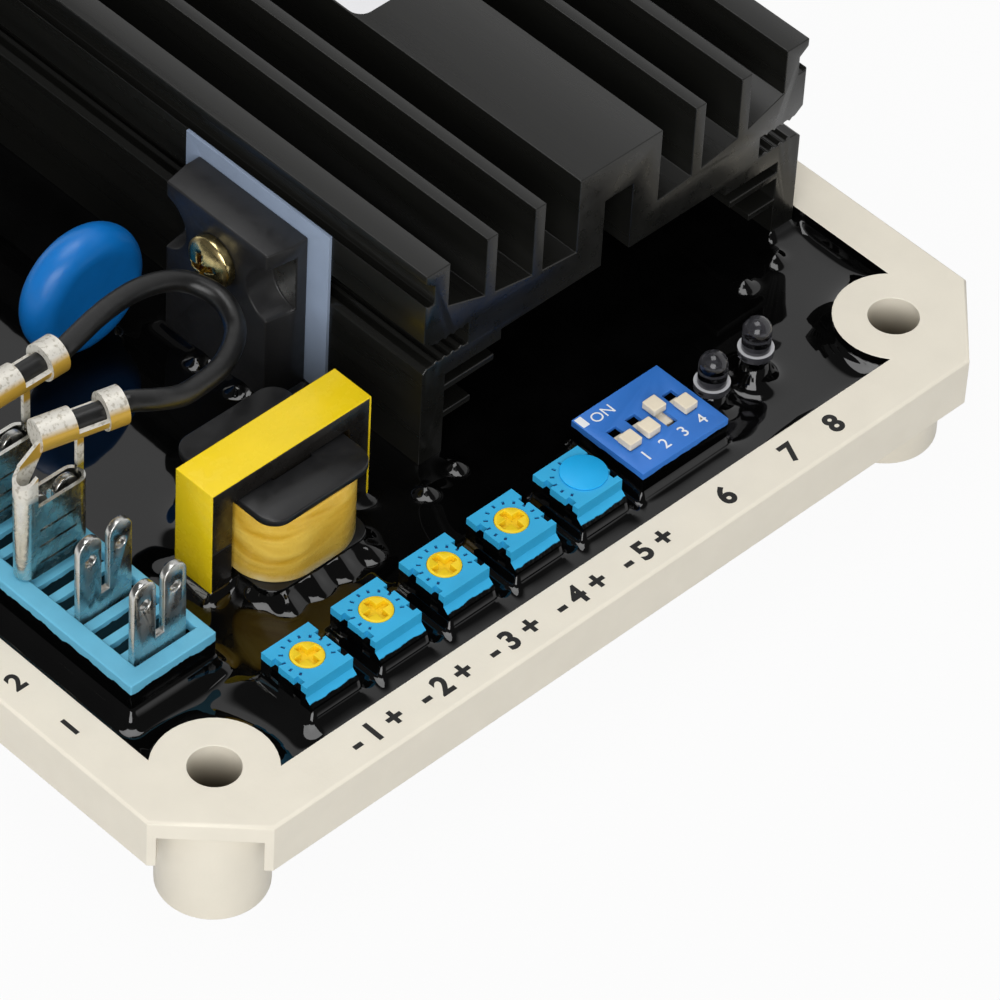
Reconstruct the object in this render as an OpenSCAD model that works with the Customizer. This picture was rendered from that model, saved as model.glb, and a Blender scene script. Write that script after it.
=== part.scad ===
// Automatic voltage regulator: potted board in a moulded tray with an extruded heatsink.
// Millimetres. X runs along the front edge, Y to the back, Z up from the mounting face.

/* [Case] */
// Width of the case along X
case_w = 110; // [109:0.5:114]
// Depth of the case along Y
case_d = 150; // [149:0.5:156]
// Height of the rim above the mounting face
rim_z = 15.25; // [15:0.05:16]
// Height of the outer skirt of the rim
skirt_h = 5.95; // [5:0.05:7]
// Width of the flat top of the rim
rim_w = 5.35; // [5:0.05:5.6]
// Thickness of the moulded walls
wall_t = 1.8; // [1.4:0.1:2]
// Leg of the cut across each corner
corner_cut = 8.3; // [7.5:0.1:8.8]
// Leg of the cut across the corners of the inner tray
tray_cut = 9; // [8.5:0.1:9.5]
// Height of the lip across each cut corner
lip_h = 2.1; // [1.9:0.1:2.4]
// Width of the opening below each lip, where the foot shows
corner_gap = 10; // [9.6:0.1:10.4]
// Distance of the mounting holes from both edges
hole_inset = 9.4; // [9.2:0.1:9.8]
// Diameter of the mounting holes
hole_d = 5.2; // [4.2:0.1:5.6]
// Diameter of the feet
foot_d = 11.2; // [10.5:0.1:11.6]
// Diameter of the corner bosses in the cavity
boss_d = 12.4; // [12:0.1:13]
// Height of the tray underside above the mounting face
floor_z = 4.5; // [4:0.1:5]
// Thickness of the tray floor
floor_t = 2; // [1.6:0.1:2.2]
// Small bevel on the outer top edge
edge_c = 0.25; // [0.2:0.05:0.4]
// Height of the posts under the board
post_h = 3.3; // [3:0.1:3.5]
// Diameter of the posts under the board
post_d = 5; // [4:0.1:6]
// Distance of the posts from the cavity walls
post_inset = 16; // [14:0.5:18]

/* [Board] */
// Thickness of the circuit board
board_t = 1.6; // [1.5:0.05:1.7]
// Gap between board edge and cavity wall
board_gap = 0.8; // [0.5:0.1:1]
// Diameter of the plain lead holes
lead_hole_d = 1; // [0.9:0.05:1.1]

/* [Potting] */
// Drop of the potting surface below the rim
pot_drop = 1.9; // [1.7:0.05:2.1]
// Film gap between the potting and what it encloses
pot_gap = 0.03; // [0.02:0.01:0.06]

/* [Heatsink] */
// Width of the extrusion
hs_w = 52; // [51:0.5:52.5]
// Length of the extrusion along Y
hs_l = 96.8; // [90:0.2:100]
// Distance of the front end from the front edge of the case
hs_front = 26.6; // [26:0.1:28]
// Gap between the extrusion and the cavity wall
hs_gap = 0.85; // [0.6:0.05:1.2]
// Height of the fin tips above the board
hs_h = 27.35; // [26.5:0.05:29]
// Thickness of the outer fins and legs
leg_t = 3.1; // [2.9:0.1:3.3]
// Thickness of the inner fins
fin_t = 1.45; // [1.2:0.05:1.7]
// Offset of the outer pair of inner fins from the middle
fin_a = 17.3; // [17:0.1:17.6]
// Offset of the inner pair of inner fins from the middle
fin_b = 10.9; // [10.5:0.1:11.3]
// Width of the middle block
block_w = 11.2; // [10.5:0.1:12]
// Height of the web underside above the board
web_h = 13.9; // [13.8:0.05:14.1]
// Height of the fin roots beside the middle block
root_in = 18; // [17.6:0.1:18.4]
// Height of the fin roots at the inner pair of fins
root_b = 18.6; // [18.4:0.1:18.8]
// Height of the fin roots at the outer pair of fins
root_a = 19.8; // [19.6:0.1:20]
// Height of the fin roots beside the outer fins
root_out = 21.8; // [21.4:0.1:22]
// Width of the slot under the middle block
mid_slot_w = 3.8; // [3.4:0.1:4.2]
// Height of the slot above the web underside
mid_slot_h = 8.6; // [8:0.1:9.5]
// Height of the screw slot centre above the board
screw_h = 16.35; // [16.25:0.05:16.45]
// Clear height of the screw slot
slot_h = 2.7; // [2.6:0.05:2.8]
// Depth of the screw slot
slot_l = 6; // [5.8:0.1:6.4]
// Distance of the first ridge from the slot's inner end
ridge_in = 0.9; // [0.8:0.05:1]
// Height of the ridges in the screw slot
ridge_h = 0.32; // [0.2:0.02:0.4]
// Pitch of the ridges in the screw slot
ridge_p = 1.1; // [1:0.05:1.15]
// Bevel at the mouth of the screw slot
mouth_c = 1.1; // [0.8:0.1:1.3]
// Height of the groove in the outer fin above the board
groove_h = 23.2; // [23:0.1:23.6]
// Width of the groove in the outer fin
groove_w = 2.3; // [2:0.1:2.5]
// Depth of the groove in the outer fin
groove_l = 1.15; // [0.9:0.05:1.3]
// Rise of the groove's upper flank
groove_up = 1.6; // [1.4:0.05:1.8]
// Rise of the groove's lower flank
groove_low = 1.2; // [1:0.05:1.3]
// Reach of the guide shelf from the middle
shelf_u = 15.4; // [15:0.1:15.8]
// Height of the guide shelf underside above the board
shelf_h = 12.6; // [12.5:0.05:12.7]
// Thickness of the guide tongues
tongue_t = 0.8; // [0.7:0.05:0.9]
// Height of the upper guide tongue above the board
tongue_a_h = 10.4; // [10.2:0.1:10.6]
// Reach of the upper guide tongue from the leg
tongue_a_l = 6.6; // [6:0.1:7]
// Height of the lower guide tongue above the board
tongue_b_h = 6.8; // [6.5:0.1:7.2]
// Reach of the lower guide tongue from the leg
tongue_b_l = 3.6; // [3:0.1:4]

/* [Power device] */
// Distance of the device centre from the front edge of the case
dev_y = 50.35; // [49.9:0.05:50.6]
// Width of the device body
dev_w = 15.6; // [15.4:0.05:15.8]
// Height of the device body
dev_h = 19.9; // [19.8:0.05:20.1]
// Thickness of the device body
dev_t = 4.9; // [4.8:0.05:5.1]
// Draft of the device body sides
dev_draft = 0.6; // [0.4:0.05:0.7]
// Height of the device's lower edge above the board
dev_z = 1.75; // [1.6:0.05:1.9]
// Thickness of the straight part of the device sides
dev_side = 1.95; // [1.8:0.05:2.1]
// Radius of the notches in the device sides
dev_notch_r = 3.4; // [3.2:0.1:3.6]
// Depth of the notches in the device sides
dev_notch_l = 3.45; // [3.2:0.05:3.6]
// Thickness of the insulator pad
pad_t = 0.4; // [0.3:0.05:0.5]
// Width of the insulator pad
pad_w = 20.5; // [20:0.1:21]
// Height of the insulator pad
pad_h = 22.4; // [22:0.1:22.6]
// Shift of the pad centre toward the front
pad_shift = 0.45; // [0.3:0.05:0.6]
// Height of the pad's lower edge above the board
pad_z = 1.2; // [1:0.1:1.4]
// Pitch of the device leads
dev_pitch = 5.45; // [5.44:0.01:5.46]
// Width of the device leads
dev_lead_w = 1.2; // [1:0.05:1.3]
// Thickness of the device leads
dev_lead_t = 0.6; // [0.5:0.05:0.7]
// Clearance around flat leads in the board
flat_gap = 0.1; // [0.08:0.01:0.15]
// Thread diameter of the device screw
screw_d = 3; // [2.9:0.05:3.1]
// Reach of the device screw into the screw slot
screw_reach = 5.2; // [4.5:0.1:5.6]
// Head diameter of the device screw
head_d = 5.8; // [5.5:0.1:6]
// Head height of the device screw
head_h = 2.1; // [1.8:0.1:2.3]
// Radius of the dome on the screw head
head_r = 4.2; // [4:0.05:4.6]
// Length of the cross recess in the screw head
recess_l = 3; // [2.6:0.1:3.4]
// Width of the cross recess in the screw head
recess_w = 0.7; // [0.6:0.05:0.8]
// Depth of the cross recess in the screw head
recess_d = 1.2; // [1:0.05:1.3]
// Turn of the cross recess
recess_turn = 20; // [0:5:45]
// Clearance around the screw in the device and pad
screw_gap = 0.2; // [0.1:0.05:0.3]
// Film gap around the formed thread in the slot
thread_gap = 0.02; // [0.01:0.01:0.04]

/* [Transformer] */
// Place of the transformer between terminal block and heatsink, as a share of that space
tr_place = 0.481; // [0.475:0.001:0.487]
// Distance of the transformer centre from the front edge of the case
tr_y = 29.25; // [29.1:0.05:29.6]
// Width of the core
core_w = 20.2; // [20:0.1:20.6]
// Thickness of the core
core_t = 5.1; // [5:0.05:5.3]
// Height of each core half
core_h = 7.85; // [7.8:0.05:8]
// Thickness of the core back
core_back = 2.5; // [2.4:0.05:2.6]
// Width of the outer core legs
core_leg = 2.6; // [2.5:0.05:2.7]
// Width of the middle core leg
core_mid = 4.8; // [4.6:0.1:5]
// Thickness of the tape band
tape_t = 0.15; // [0.1:0.01:0.2]
// Width of the tape band
tape_w = 5.2; // [5.1:0.05:5.3]
// Thickness of the bobbin flanges
flange_t = 0.9; // [0.85:0.05:1]
// Width of the bobbin flanges
flange_w = 13.6; // [13.2:0.1:14]
// Depth of the bobbin flanges
flange_d = 14.6; // [14.2:0.1:15]
// Corner radius of the bobbin flanges
flange_r = 2.2; // [1.8:0.1:2.6]
// Wall of the bobbin tube
tube_t = 0.8; // [0.7:0.05:0.9]
// Gap between bobbin and core
bobbin_gap = 0.1; // [0.08:0.01:0.12]
// Width of the winding
wind_w = 13.8; // [13.4:0.1:14]
// Depth of the winding
wind_d = 14.8; // [14.4:0.1:15]
// Corner radius of the winding
wind_r = 5; // [4.5:0.1:5.5]
// Diameter of the bobbin pins
pin_d = 0.7; // [0.6:0.05:0.8]
// Half spacing of the bobbin pin rows
pin_row = 5.8; // [5.5:0.1:6]
// Pitch of the bobbin pins
pin_pitch = 3.4; // [3.2:0.1:3.6]

/* [Trimmers] */
// Centre of the first trimmer along X
trim_x = -31.2; // [-31.4:0.05:-31]
// Pitch of the trimmers
trim_p = 8.88; // [8.8:0.02:8.96]
// Distance of the trimmer centres from the front edge of the case
trim_y = 12.4; // [12:0.1:12.8]
// Width of the trimmer body
trim_w = 6; // [5.8:0.05:6.2]
// Depth of the trimmer body
trim_d = 6.2; // [6:0.05:6.4]
// Height of the trimmer body
trim_h = 6.35; // [6.2:0.05:6.6]
// Height of the foot ledge on the trimmer front
ledge_h = 4.6; // [4.4:0.1:4.8]
// Reach of the foot ledge on the trimmer front
ledge_l = 0.9; // [0.7:0.05:1]
// Fall of the foot ledge toward its lip
ledge_fall = 0.8; // [0.6:0.05:1]
// Width of the side notches
notch_w = 1; // [0.8:0.05:1.1]
// Depth of the side notches
notch_l = 0.5; // [0.4:0.05:0.6]
// Height of the side notches' lower end
notch_z = 2.9; // [2.8:0.05:3.2]
// Set-back of the rear side notches from the rotor
notch_rear = 1.2; // [1.1:0.05:1.4]
// Distance of the front side notches from the rotor
notch_front = 1.9; // [1.8:0.05:2]
// Diameter of the trimmer rotor
rotor_d = 3.4; // [3.2:0.05:3.6]
// Height of the trimmer rotor
rotor_h = 1.6; // [1.5:0.05:1.8]
// Stand of the rotor above the body
rotor_up = 0.12; // [0.1:0.01:0.2]
// Radial running clearance of the rotor
rotor_gap = 0.05; // [0.03:0.01:0.08]
// Width of the cross slot in the rotor
cross_w = 0.75; // [0.6:0.05:0.9]
// Length of the cross slot in the rotor
cross_l = 2.7; // [2.4:0.1:2.9]
// Depth of the cross slot in the rotor
cross_d = 0.7; // [0.5:0.05:0.9]
// Number of scale marks around the rotor
tick_n = 11; // [9:1:13]
// Depth of the scale marks
tick_d = 0.15; // [0.1:0.01:0.2]
// Length of the scale marks
tick_l = 0.45; // [0.4:0.05:0.5]
// Width of the scale marks
tick_w = 0.28; // [0.24:0.01:0.32]
// Distance of the scale marks from the rotor
tick_off = 0.55; // [0.5:0.05:0.6]
// Angle covered by the scale marks
tick_span = 246; // [240:2:252]
// Diameter of the seal disc on the fifth trimmer
seal_d = 4.8; // [4.6:0.1:5]
// Thickness of the seal disc on the fifth trimmer
seal_t = 0.2; // [0.15:0.05:0.3]
// Shift of the seal disc from the middle of the fifth trimmer
seal_shift = 0.8; // [0.6:0.05:0.9]
// Diameter of the trimmer pins
trim_pin_d = 0.6; // [0.5:0.05:0.7]
// Half spacing of the trimmer pins
trim_pin = 2.5; // [2.4:0.05:2.6]

/* [Switch] */
// Switch centre along X
dip_x = 15.15; // [15.05:0.05:15.4]
// Distance of the switch centre from the front edge of the case
dip_y = 13.4; // [13:0.05:13.7]
// Width of the switch
dip_w = 11.7; // [11.5:0.1:11.9]
// Depth of the switch
dip_d = 9.95; // [9.8:0.05:10.1]
// Height of the switch
dip_h = 6.35; // [6.2:0.05:6.5]
// Height of the switch base
dip_base_h = 2.2; // [2:0.1:2.4]
// Pitch of the sliders
dip_p = 2.54; // [2.5:0.02:2.58]
// Thickness of the cover over the slider feet
dip_top_t = 0.45; // [0.4:0.05:0.5]
// Width of the slider stems
stem_w = 1.15; // [1.1:0.05:1.25]
// Length of the slider stems along the travel
stem_l = 1.5; // [1.4:0.05:1.6]
// Stand of the slider knobs above the cover
stem_up = 0.9; // [0.7:0.05:1]
// Travel of the sliders
travel = 1.8; // [1.6:0.05:2]
// Running clearance of the sliders
slide_gap = 0.08; // [0.05:0.01:0.1]
// Width of the slider feet
foot_w = 1.7; // [1.6:0.05:1.8]
// Length of the slider feet along the travel
foot_l = 4; // [3.8:0.05:4.2]
// Width of the slider knobs
knob_w = 1.7; // [1.6:0.05:1.8]
// Length of the slider knobs along the travel
knob_l = 1.8; // [1.7:0.05:1.9]
// Shift of the slider windows toward the front
window_shift = 0.15; // [0:0.05:0.3]
// Diameter of the switch pins
dip_pin_d = 0.5; // [0.45:0.05:0.6]
// Half spacing of the switch pin rows
dip_row = 3.81; // [3.8:0.01:3.82]

/* [Indicators] */
// Indicator lens diameter
led_d = 3; // [2.9:0.05:3.1]
// Indicator flange diameter
led_flange_d = 3.7; // [3.5:0.05:3.8]
// Indicator flange thickness
led_flange_t = 0.8; // [0.7:0.05:1]
// Indicator lens height
led_h = 4.5; // [4.3:0.1:5]
// Distance of the indicators from the front edge of the case
led_y = 13.7; // [13.4:0.05:14]
// First indicator along X
led_x1 = 24.1; // [23.9:0.05:24.3]
// Second indicator along X
led_x2 = 30.15; // [29.9:0.05:30.4]
// Height of the first indicator flange above the board
led_z1 = 4.8; // [4.6:0.1:5]
// Height of the second indicator flange above the board
led_z2 = 5.6; // [5.4:0.1:5.8]
// Side of the square indicator leads
led_lead = 0.5; // [0.45:0.05:0.55]
// Pitch of the indicator leads
led_pitch = 2.54; // [2.5:0.02:2.58]

/* [Terminals] */
// Gap between the terminal block and the cavity wall
tb_gap = 3.05; // [3:0.05:3.3]
// Distance of the block's front end from the front edge of the case
tb_front = 19.9; // [19.6:0.1:20.2]
// Width of the terminal block
tb_w = 10.75; // [10.6:0.05:10.9]
// Height of the terminal block
tb_h = 6.85; // [6.7:0.05:7]
// Number of terminal positions
tb_n = 13; // [10:1:14]
// Pitch of the terminal positions
tb_p = 7.62; // [7.6:0.01:7.64]
// Distance of the first and last blade from the block ends
tb_end = 2.4; // [2.3:0.05:2.6]
// Width of the wall on the case side of the block
tb_wall_l = 2.1; // [2:0.05:2.2]
// Width of the wall on the board side of the block
tb_wall_r = 1.05; // [1:0.05:1.1]
// Width of the wells in the block
well_w = 1.5; // [1.4:0.05:1.6]
// Depth of the wells in the block
well_d = 3; // [2.5:0.1:3.4]
// Drop of the ribs below the block's top
rib_drop = 0.5; // [0.3:0.05:0.7]
// Width of the slots around the blades
blade_slot_w = 1.3; // [1.25:0.05:1.4]
// Thickness of the blades
blade_t = 0.8; // [0.75:0.05:0.85]
// Width of each blade prong
prong_w = 2.8; // [2.75:0.05:2.85]
// Gap between the two prongs of a blade
prong_gap = 1; // [0.9:0.05:1.05]
// Height of the blade tips above the board
blade_h = 16.7; // [16.4:0.1:17]
// Height of the blade's solid root above the board
blade_root = 8.7; // [8.4:0.1:9]
// Height of the prong holes above the board
prong_hole_h = 13.9; // [13.6:0.1:14.2]
// Diameter of the prong holes
prong_hole_d = 1.3; // [1.2:0.05:1.4]
// Fit of the blades in the block
blade_fit = 0.06; // [0.04:0.01:0.1]
// Shift of the blades toward the case wall
blade_off = 0.5; // [0.4:0.05:0.55]
// Width of the blade legs in the board
blade_leg = 0.9; // [0.85:0.05:0.95]

/* [Link] */
// Width of the receptacle clip
clip_w = 8.3; // [8.2:0.05:8.4]
// Thickness of the receptacle clip
clip_t = 2.6; // [2.5:0.05:2.7]
// Height of the clip's lower end above the block
clip_z = 0.25; // [0.2:0.05:0.4]
// Height of the receptacle clip
clip_h = 9.1; // [9:0.05:9.2]
// Sheet thickness of the receptacles
sheet_t = 0.4; // [0.35:0.01:0.45]
// Fit of the clip on the blade
clip_fit = 0.05; // [0.03:0.01:0.08]
// Gap between the clip's rolled lips
lip_gap = 1.6; // [1.4:0.1:1.8]
// Width of the clip's rolled lips
lip_w = 1; // [0.9:0.05:1.1]
// Length of the ribs' slots in the clip
rib_l = 4.6; // [4.2:0.1:4.8]
// Pitch of the ribs' slots in the clip
rib_p = 2.15; // [2:0.05:2.2]
// Height of the lowest rib slot in the clip
rib_z = 1.5; // [1.4:0.05:1.7]
// Height of the ribs' slots in the clip
rib_slot = 0.3; // [0.25:0.05:0.35]
// Height of the closed band at the clip's upper end
band_h = 1.2; // [1:0.1:1.4]
// Width of the clip's rolled side that rises to the barrel's end
cheek_w = 1.7; // [1.6:0.05:1.8]
// Rise of that side above the clip
cheek_h = 4; // [3.8:0.1:4.2]
// Height above the clip where that side's outer corner is cut
cheek_cut = 2.7; // [2.5:0.1:2.9]
// Reach of that side past the barrel's end
cheek_out = 0.4; // [0.3:0.05:0.5]
// Width of the post on the clip's other side
post_w = 0.8; // [0.75:0.05:0.85]
// Depth of the post in the barrel's wall
post_sink = 0.6; // [0.55:0.01:0.62]
// Height of the barrel axis above the board, first receptacle
barrel_h1 = 21.8; // [21.6:0.1:22]
// Height of the barrel axis above the board, second receptacle
barrel_h2 = 22.6; // [22.4:0.1:22.8]
// Outer diameter of the insulation crimp
ins_d = 4; // [3.9:0.05:4.2]
// Outer diameter of the conductor crimp
con_d = 3.4; // [3.3:0.05:3.5]
// Reach of the first barrel's middle from the blade
reach_1 = 4.8; // [4.7:0.05:4.9]
// Reach of the second barrel's middle from the blade
reach_2 = 4.2; // [4.1:0.05:4.3]
// Turn of the first barrel about Z
turn_1 = -14; // [-15:0.5:-13]
// Turn of the second barrel about Z
turn_2 = 0; // [-1:0.5:1]
// Set-back of the barrels from the blades
barrel_back = 0.7; // [0.6:0.05:0.8]
// Length of the conductor crimp
con_l = 3.8; // [3.6:0.1:4]
// Start of the conductor crimp from the barrel's middle
con_start = 5; // [4.9:0.05:5.1]
// Length of the insulation crimp
ins_l = 2.1; // [1.9:0.1:2.3]
// Start of the insulation crimp from the barrel's middle
ins_start = 2; // [1.9:0.05:2.1]
// Depth of the wire end behind the barrel's middle
wire_in = 3.1; // [3:0.05:3.2]
// Diameter of the link wire
wire_d = 2.2; // [2.1:0.05:2.3]
// Fit of the wire in the crimps
wire_fit = 0.04; // [0.03:0.01:0.06]

/* [Varistor] */
// Place of the varistor between terminal block and heatsink, as a share of that space
var_place = 0.583; // [0.57:0.001:0.596]
// Gap between the varistor and the rear side of the power device
var_gap = 0.25; // [0.2:0.05:0.5]
// Diameter of the varistor disc
var_d = 14.6; // [14.2:0.1:15]
// Thickness of the varistor disc
var_t = 4.6; // [4.4:0.1:5]
// Height of the varistor centre above the board
var_h = 10.25; // [10.2:0.05:10.6]
// Height of the varistor lead ends above the board
var_lead_h = 5.8; // [5.6:0.1:6]
// Fit of the varistor leads in the coating
var_fit = 0.03; // [0.02:0.01:0.05]
// Diameter of the varistor leads
var_lead_d = 0.8; // [0.7:0.05:0.9]
// Pitch of the varistor leads
var_pitch = 7.5; // [7.4:0.1:7.6]

/* [Hidden] */
$fn = 48;
front = -case_d / 2;
skirt_z = rim_z - skirt_h;
cav_x = case_w / 2 - rim_w;
cav_y = case_d / 2 - rim_w;
hole_x = case_w / 2 - hole_inset;
hole_y = case_d / 2 - hole_inset;
cav_z = floor_z + floor_t;
board_b = cav_z + post_h;
top = board_b + board_t;
pot_z = rim_z - pot_drop;
hs_x = cav_x - hs_gap - hs_w / 2;
hs_u = hs_w / 2;
leg_u = hs_u - leg_t;
hs_left = hs_x - hs_u;
dev_x = hs_left - pad_t;
dev_cy = front + dev_y;
pad_cy = dev_cy - pad_shift;
tr_cy = front + tr_y;
core_b = top + tape_t;
tape_u = core_w / 2 + tape_t;
core_top = core_b + 2 * core_h;
win_b = core_b + core_back;
win_t = core_top - core_back;
trim_cy = front + trim_y;
trim_top = top + trim_h;
trim_xs = [trim_x, trim_x + trim_p, trim_x + 2 * trim_p, trim_x + 3 * trim_p, trim_x + 4 * trim_p];
dip_cy = front + dip_y;
dip_top = top + dip_h;
window_y = dip_cy - window_shift;
foot_room = dip_h - dip_base_h - dip_top_t;
foot_h = foot_room - 2 * slide_gap;
led_cy = front + led_y;
four = [-1.5, -0.5, 0.5, 1.5];
tb_x = -cav_x + tb_gap;
tb_y = front + tb_front;
tb_l = 2 * tb_end + (tb_n - 1) * tb_p;
tb_top = top + tb_h;
well_x = tb_x + tb_wall_l;
well_l = tb_w - tb_wall_l - tb_wall_r;
blade_w = 2 * prong_w + prong_gap;
blade_x = well_x + well_l / 2 - blade_off;
blade_y = tb_y + tb_end;
tr_x = tb_x + tb_w + tr_place * (hs_left - tb_x - tb_w);
link_y1 = blade_y + 2 * tb_p;
link_y2 = blade_y + 3 * tb_p;
var_x = tb_x + tb_w + var_place * (hs_left - tb_x - tb_w);
var_cy = dev_cy + dev_w / 2 + var_gap + var_t / 2;
eps = 0.01;
crimp_end = ins_start + ins_l;
wire_sides = 12;
loop_x = blade_x + reach_1 + crimp_end * cos(turn_1);
loop_w = dev_x - dev_t - loop_x;
// Free stretch of the link wire: share of the way from the crimps to the power device,
// distance from the front edge, height above the board
wire_route = [
    [0.15, 36.2, 20.9], [0.27, 36.1, 19.6], [0.39, 36.6, 18.8], [0.52, 37.4, 18.2], [0.64, 38.8, 17.8],
    [0.74, 40.7, 17.7], [0.79, 43, 18.1], [0.79, 45.1, 18.7], [0.73, 47.3, 19.5], [0.64, 48.2, 20.3],
    [0.51, 48.5, 21], [0.37, 48.1, 21.6], [0.22, 47.2, 22.2]];

function oct(w, d, c) = [
    [w - c, -d], [w, -d + c], [w, d - c], [w - c, d],
    [-w + c, d], [-w, d - c], [-w, -d + c], [-w + c, -d]];
function inset_cut(i) = corner_cut - i * (2 - sqrt(2));

module outline(i) {
    polygon(oct(case_w / 2 - i, case_d / 2 - i, inset_cut(i)));
}
module tray_outline() {
    polygon(oct(cav_x + wall_t, cav_y + wall_t, tray_cut));
}
module at_corners(x, y) {
    for (sx = [-1, 1], sy = [-1, 1])
        translate([sx * x, sy * y, 0]) children();
}
// Middle of each cut corner, with X across the cut
module at_cut_corners() {
    for (sx = [-1, 1], sy = [-1, 1])
        translate([sx * (case_w - corner_cut) / 2, sy * (case_d - corner_cut) / 2, 0])
            rotate([0, 0, sx * sy * 45]) children();
}
module box(x0, x1, y0, y1, z0, z1) {
    translate([x0, y0, z0]) cube([x1 - x0, y1 - y0, z1 - z0]);
}
module posts(gap) {
    at_corners(cav_x - post_inset, cav_y - post_inset)
        translate([0, 0, cav_z - eps]) cylinder(d = post_d + 2 * gap, h = post_h + eps);
}
module edge_bevels() {
    s = edge_c * sqrt(2);
    for (m = [-1, 1]) {
        translate([m * case_w / 2, 0, rim_z]) rotate([0, 45, 0]) cube([s, case_d, s], center = true);
        translate([0, m * case_d / 2, rim_z]) rotate([45, 0, 0]) cube([case_w, s, s], center = true);
    }
    at_cut_corners() translate([0, 0, rim_z]) rotate([0, 45, 0])
        cube([s, 2 * corner_cut, s], center = true);
}
module case_tray() {
    color([0.91, 0.89, 0.83]) {
        difference() {
            union() {
                translate([0, 0, skirt_z]) linear_extrude(skirt_h) outline(0);
                translate([0, 0, floor_z]) linear_extrude(rim_z - floor_z - wall_t / 2) tray_outline();
                at_corners(hole_x, hole_y) cylinder(d = foot_d, h = rim_z - wall_t / 2);
            }
            difference() {
                box(-cav_x, cav_x, -cav_y, cav_y, cav_z, rim_z + 1);
                at_corners(hole_x, hole_y) cylinder(d = boss_d, h = rim_z + 2);
            }
            translate([0, 0, skirt_z - 1]) linear_extrude(skirt_h + 1 - wall_t) difference() {
                outline(wall_t);
                tray_outline();
                at_corners(hole_x, hole_y) circle(d = foot_d);
            }
            translate([0, 0, skirt_z - 1]) linear_extrude(skirt_h + 1 - lip_h) difference() {
                at_cut_corners() square([foot_d, corner_gap], center = true);
                at_corners(hole_x, hole_y) circle(d = foot_d);
            }
            at_corners(hole_x, hole_y) translate([0, 0, -1]) cylinder(d = hole_d, h = rim_z + 2);
            edge_bevels();
        }
        posts(0);
    }
}

module at_dev_leads() {
    for (k = [-1, 0, 1]) translate([dev_x - dev_t / 2, dev_cy + k * dev_pitch, 0]) children();
}
module at_tr_pins() {
    for (sy = [-1, 1], k = four)
        translate([tr_x + k * pin_pitch, tr_cy + sy * pin_row, 0]) children();
}
module at_trim_pins() {
    for (x = trim_xs) {
        for (s = [-1, 1]) translate([x + s * trim_pin, trim_cy + trim_pin, 0]) children();
        translate([x, trim_cy - trim_pin, 0]) children();
    }
}
module at_dip_pins() {
    for (sy = [-1, 1], k = four)
        translate([dip_x + k * dip_p, dip_cy + sy * dip_row, 0]) children();
}
module at_led_leads(x) {
    for (s = [-1, 1]) translate([x + s * led_pitch / 2, led_cy, 0]) children();
}
module at_var_leads() {
    for (s = [-1, 1]) translate([var_x + s * var_pitch / 2, var_cy, 0]) children();
}
module at_blades() {
    for (k = [0 : tb_n - 1]) translate([blade_x, blade_y + k * tb_p, 0]) children();
}
module at_blade_legs() {
    at_blades() for (s = [-1, 1]) translate([s * (prong_w + prong_gap) / 2, 0, 0]) children();
}

module lead_hole() {
    cylinder(d = lead_hole_d, h = board_t + 2, $fn = 24);
}
module flat_hole(w, d) {
    x = w + 2 * flat_gap;
    y = d + 2 * flat_gap;
    translate([-x / 2, -y / 2, 0]) cube([x, y, board_t + 2]);
}
module circuit_board() {
    color([0.1, 0.35, 0.18]) difference() {
        box(-cav_x + board_gap, cav_x - board_gap, -cav_y + board_gap, cav_y - board_gap, board_b, top);
        at_corners(hole_x, hole_y) translate([0, 0, board_b - 1])
            cylinder(d = boss_d + 2 * board_gap, h = board_t + 2);
        translate([0, 0, board_b - 1]) {
            at_dev_leads() flat_hole(dev_lead_t, dev_lead_w);
            at_tr_pins() lead_hole();
            at_trim_pins() lead_hole();
            at_dip_pins() lead_hole();
            at_led_leads(led_x1) lead_hole();
            at_led_leads(led_x2) lead_hole();
            at_var_leads() lead_hole();
            at_blade_legs() flat_hole(blade_leg, blade_t);
        }
    }
}

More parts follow.
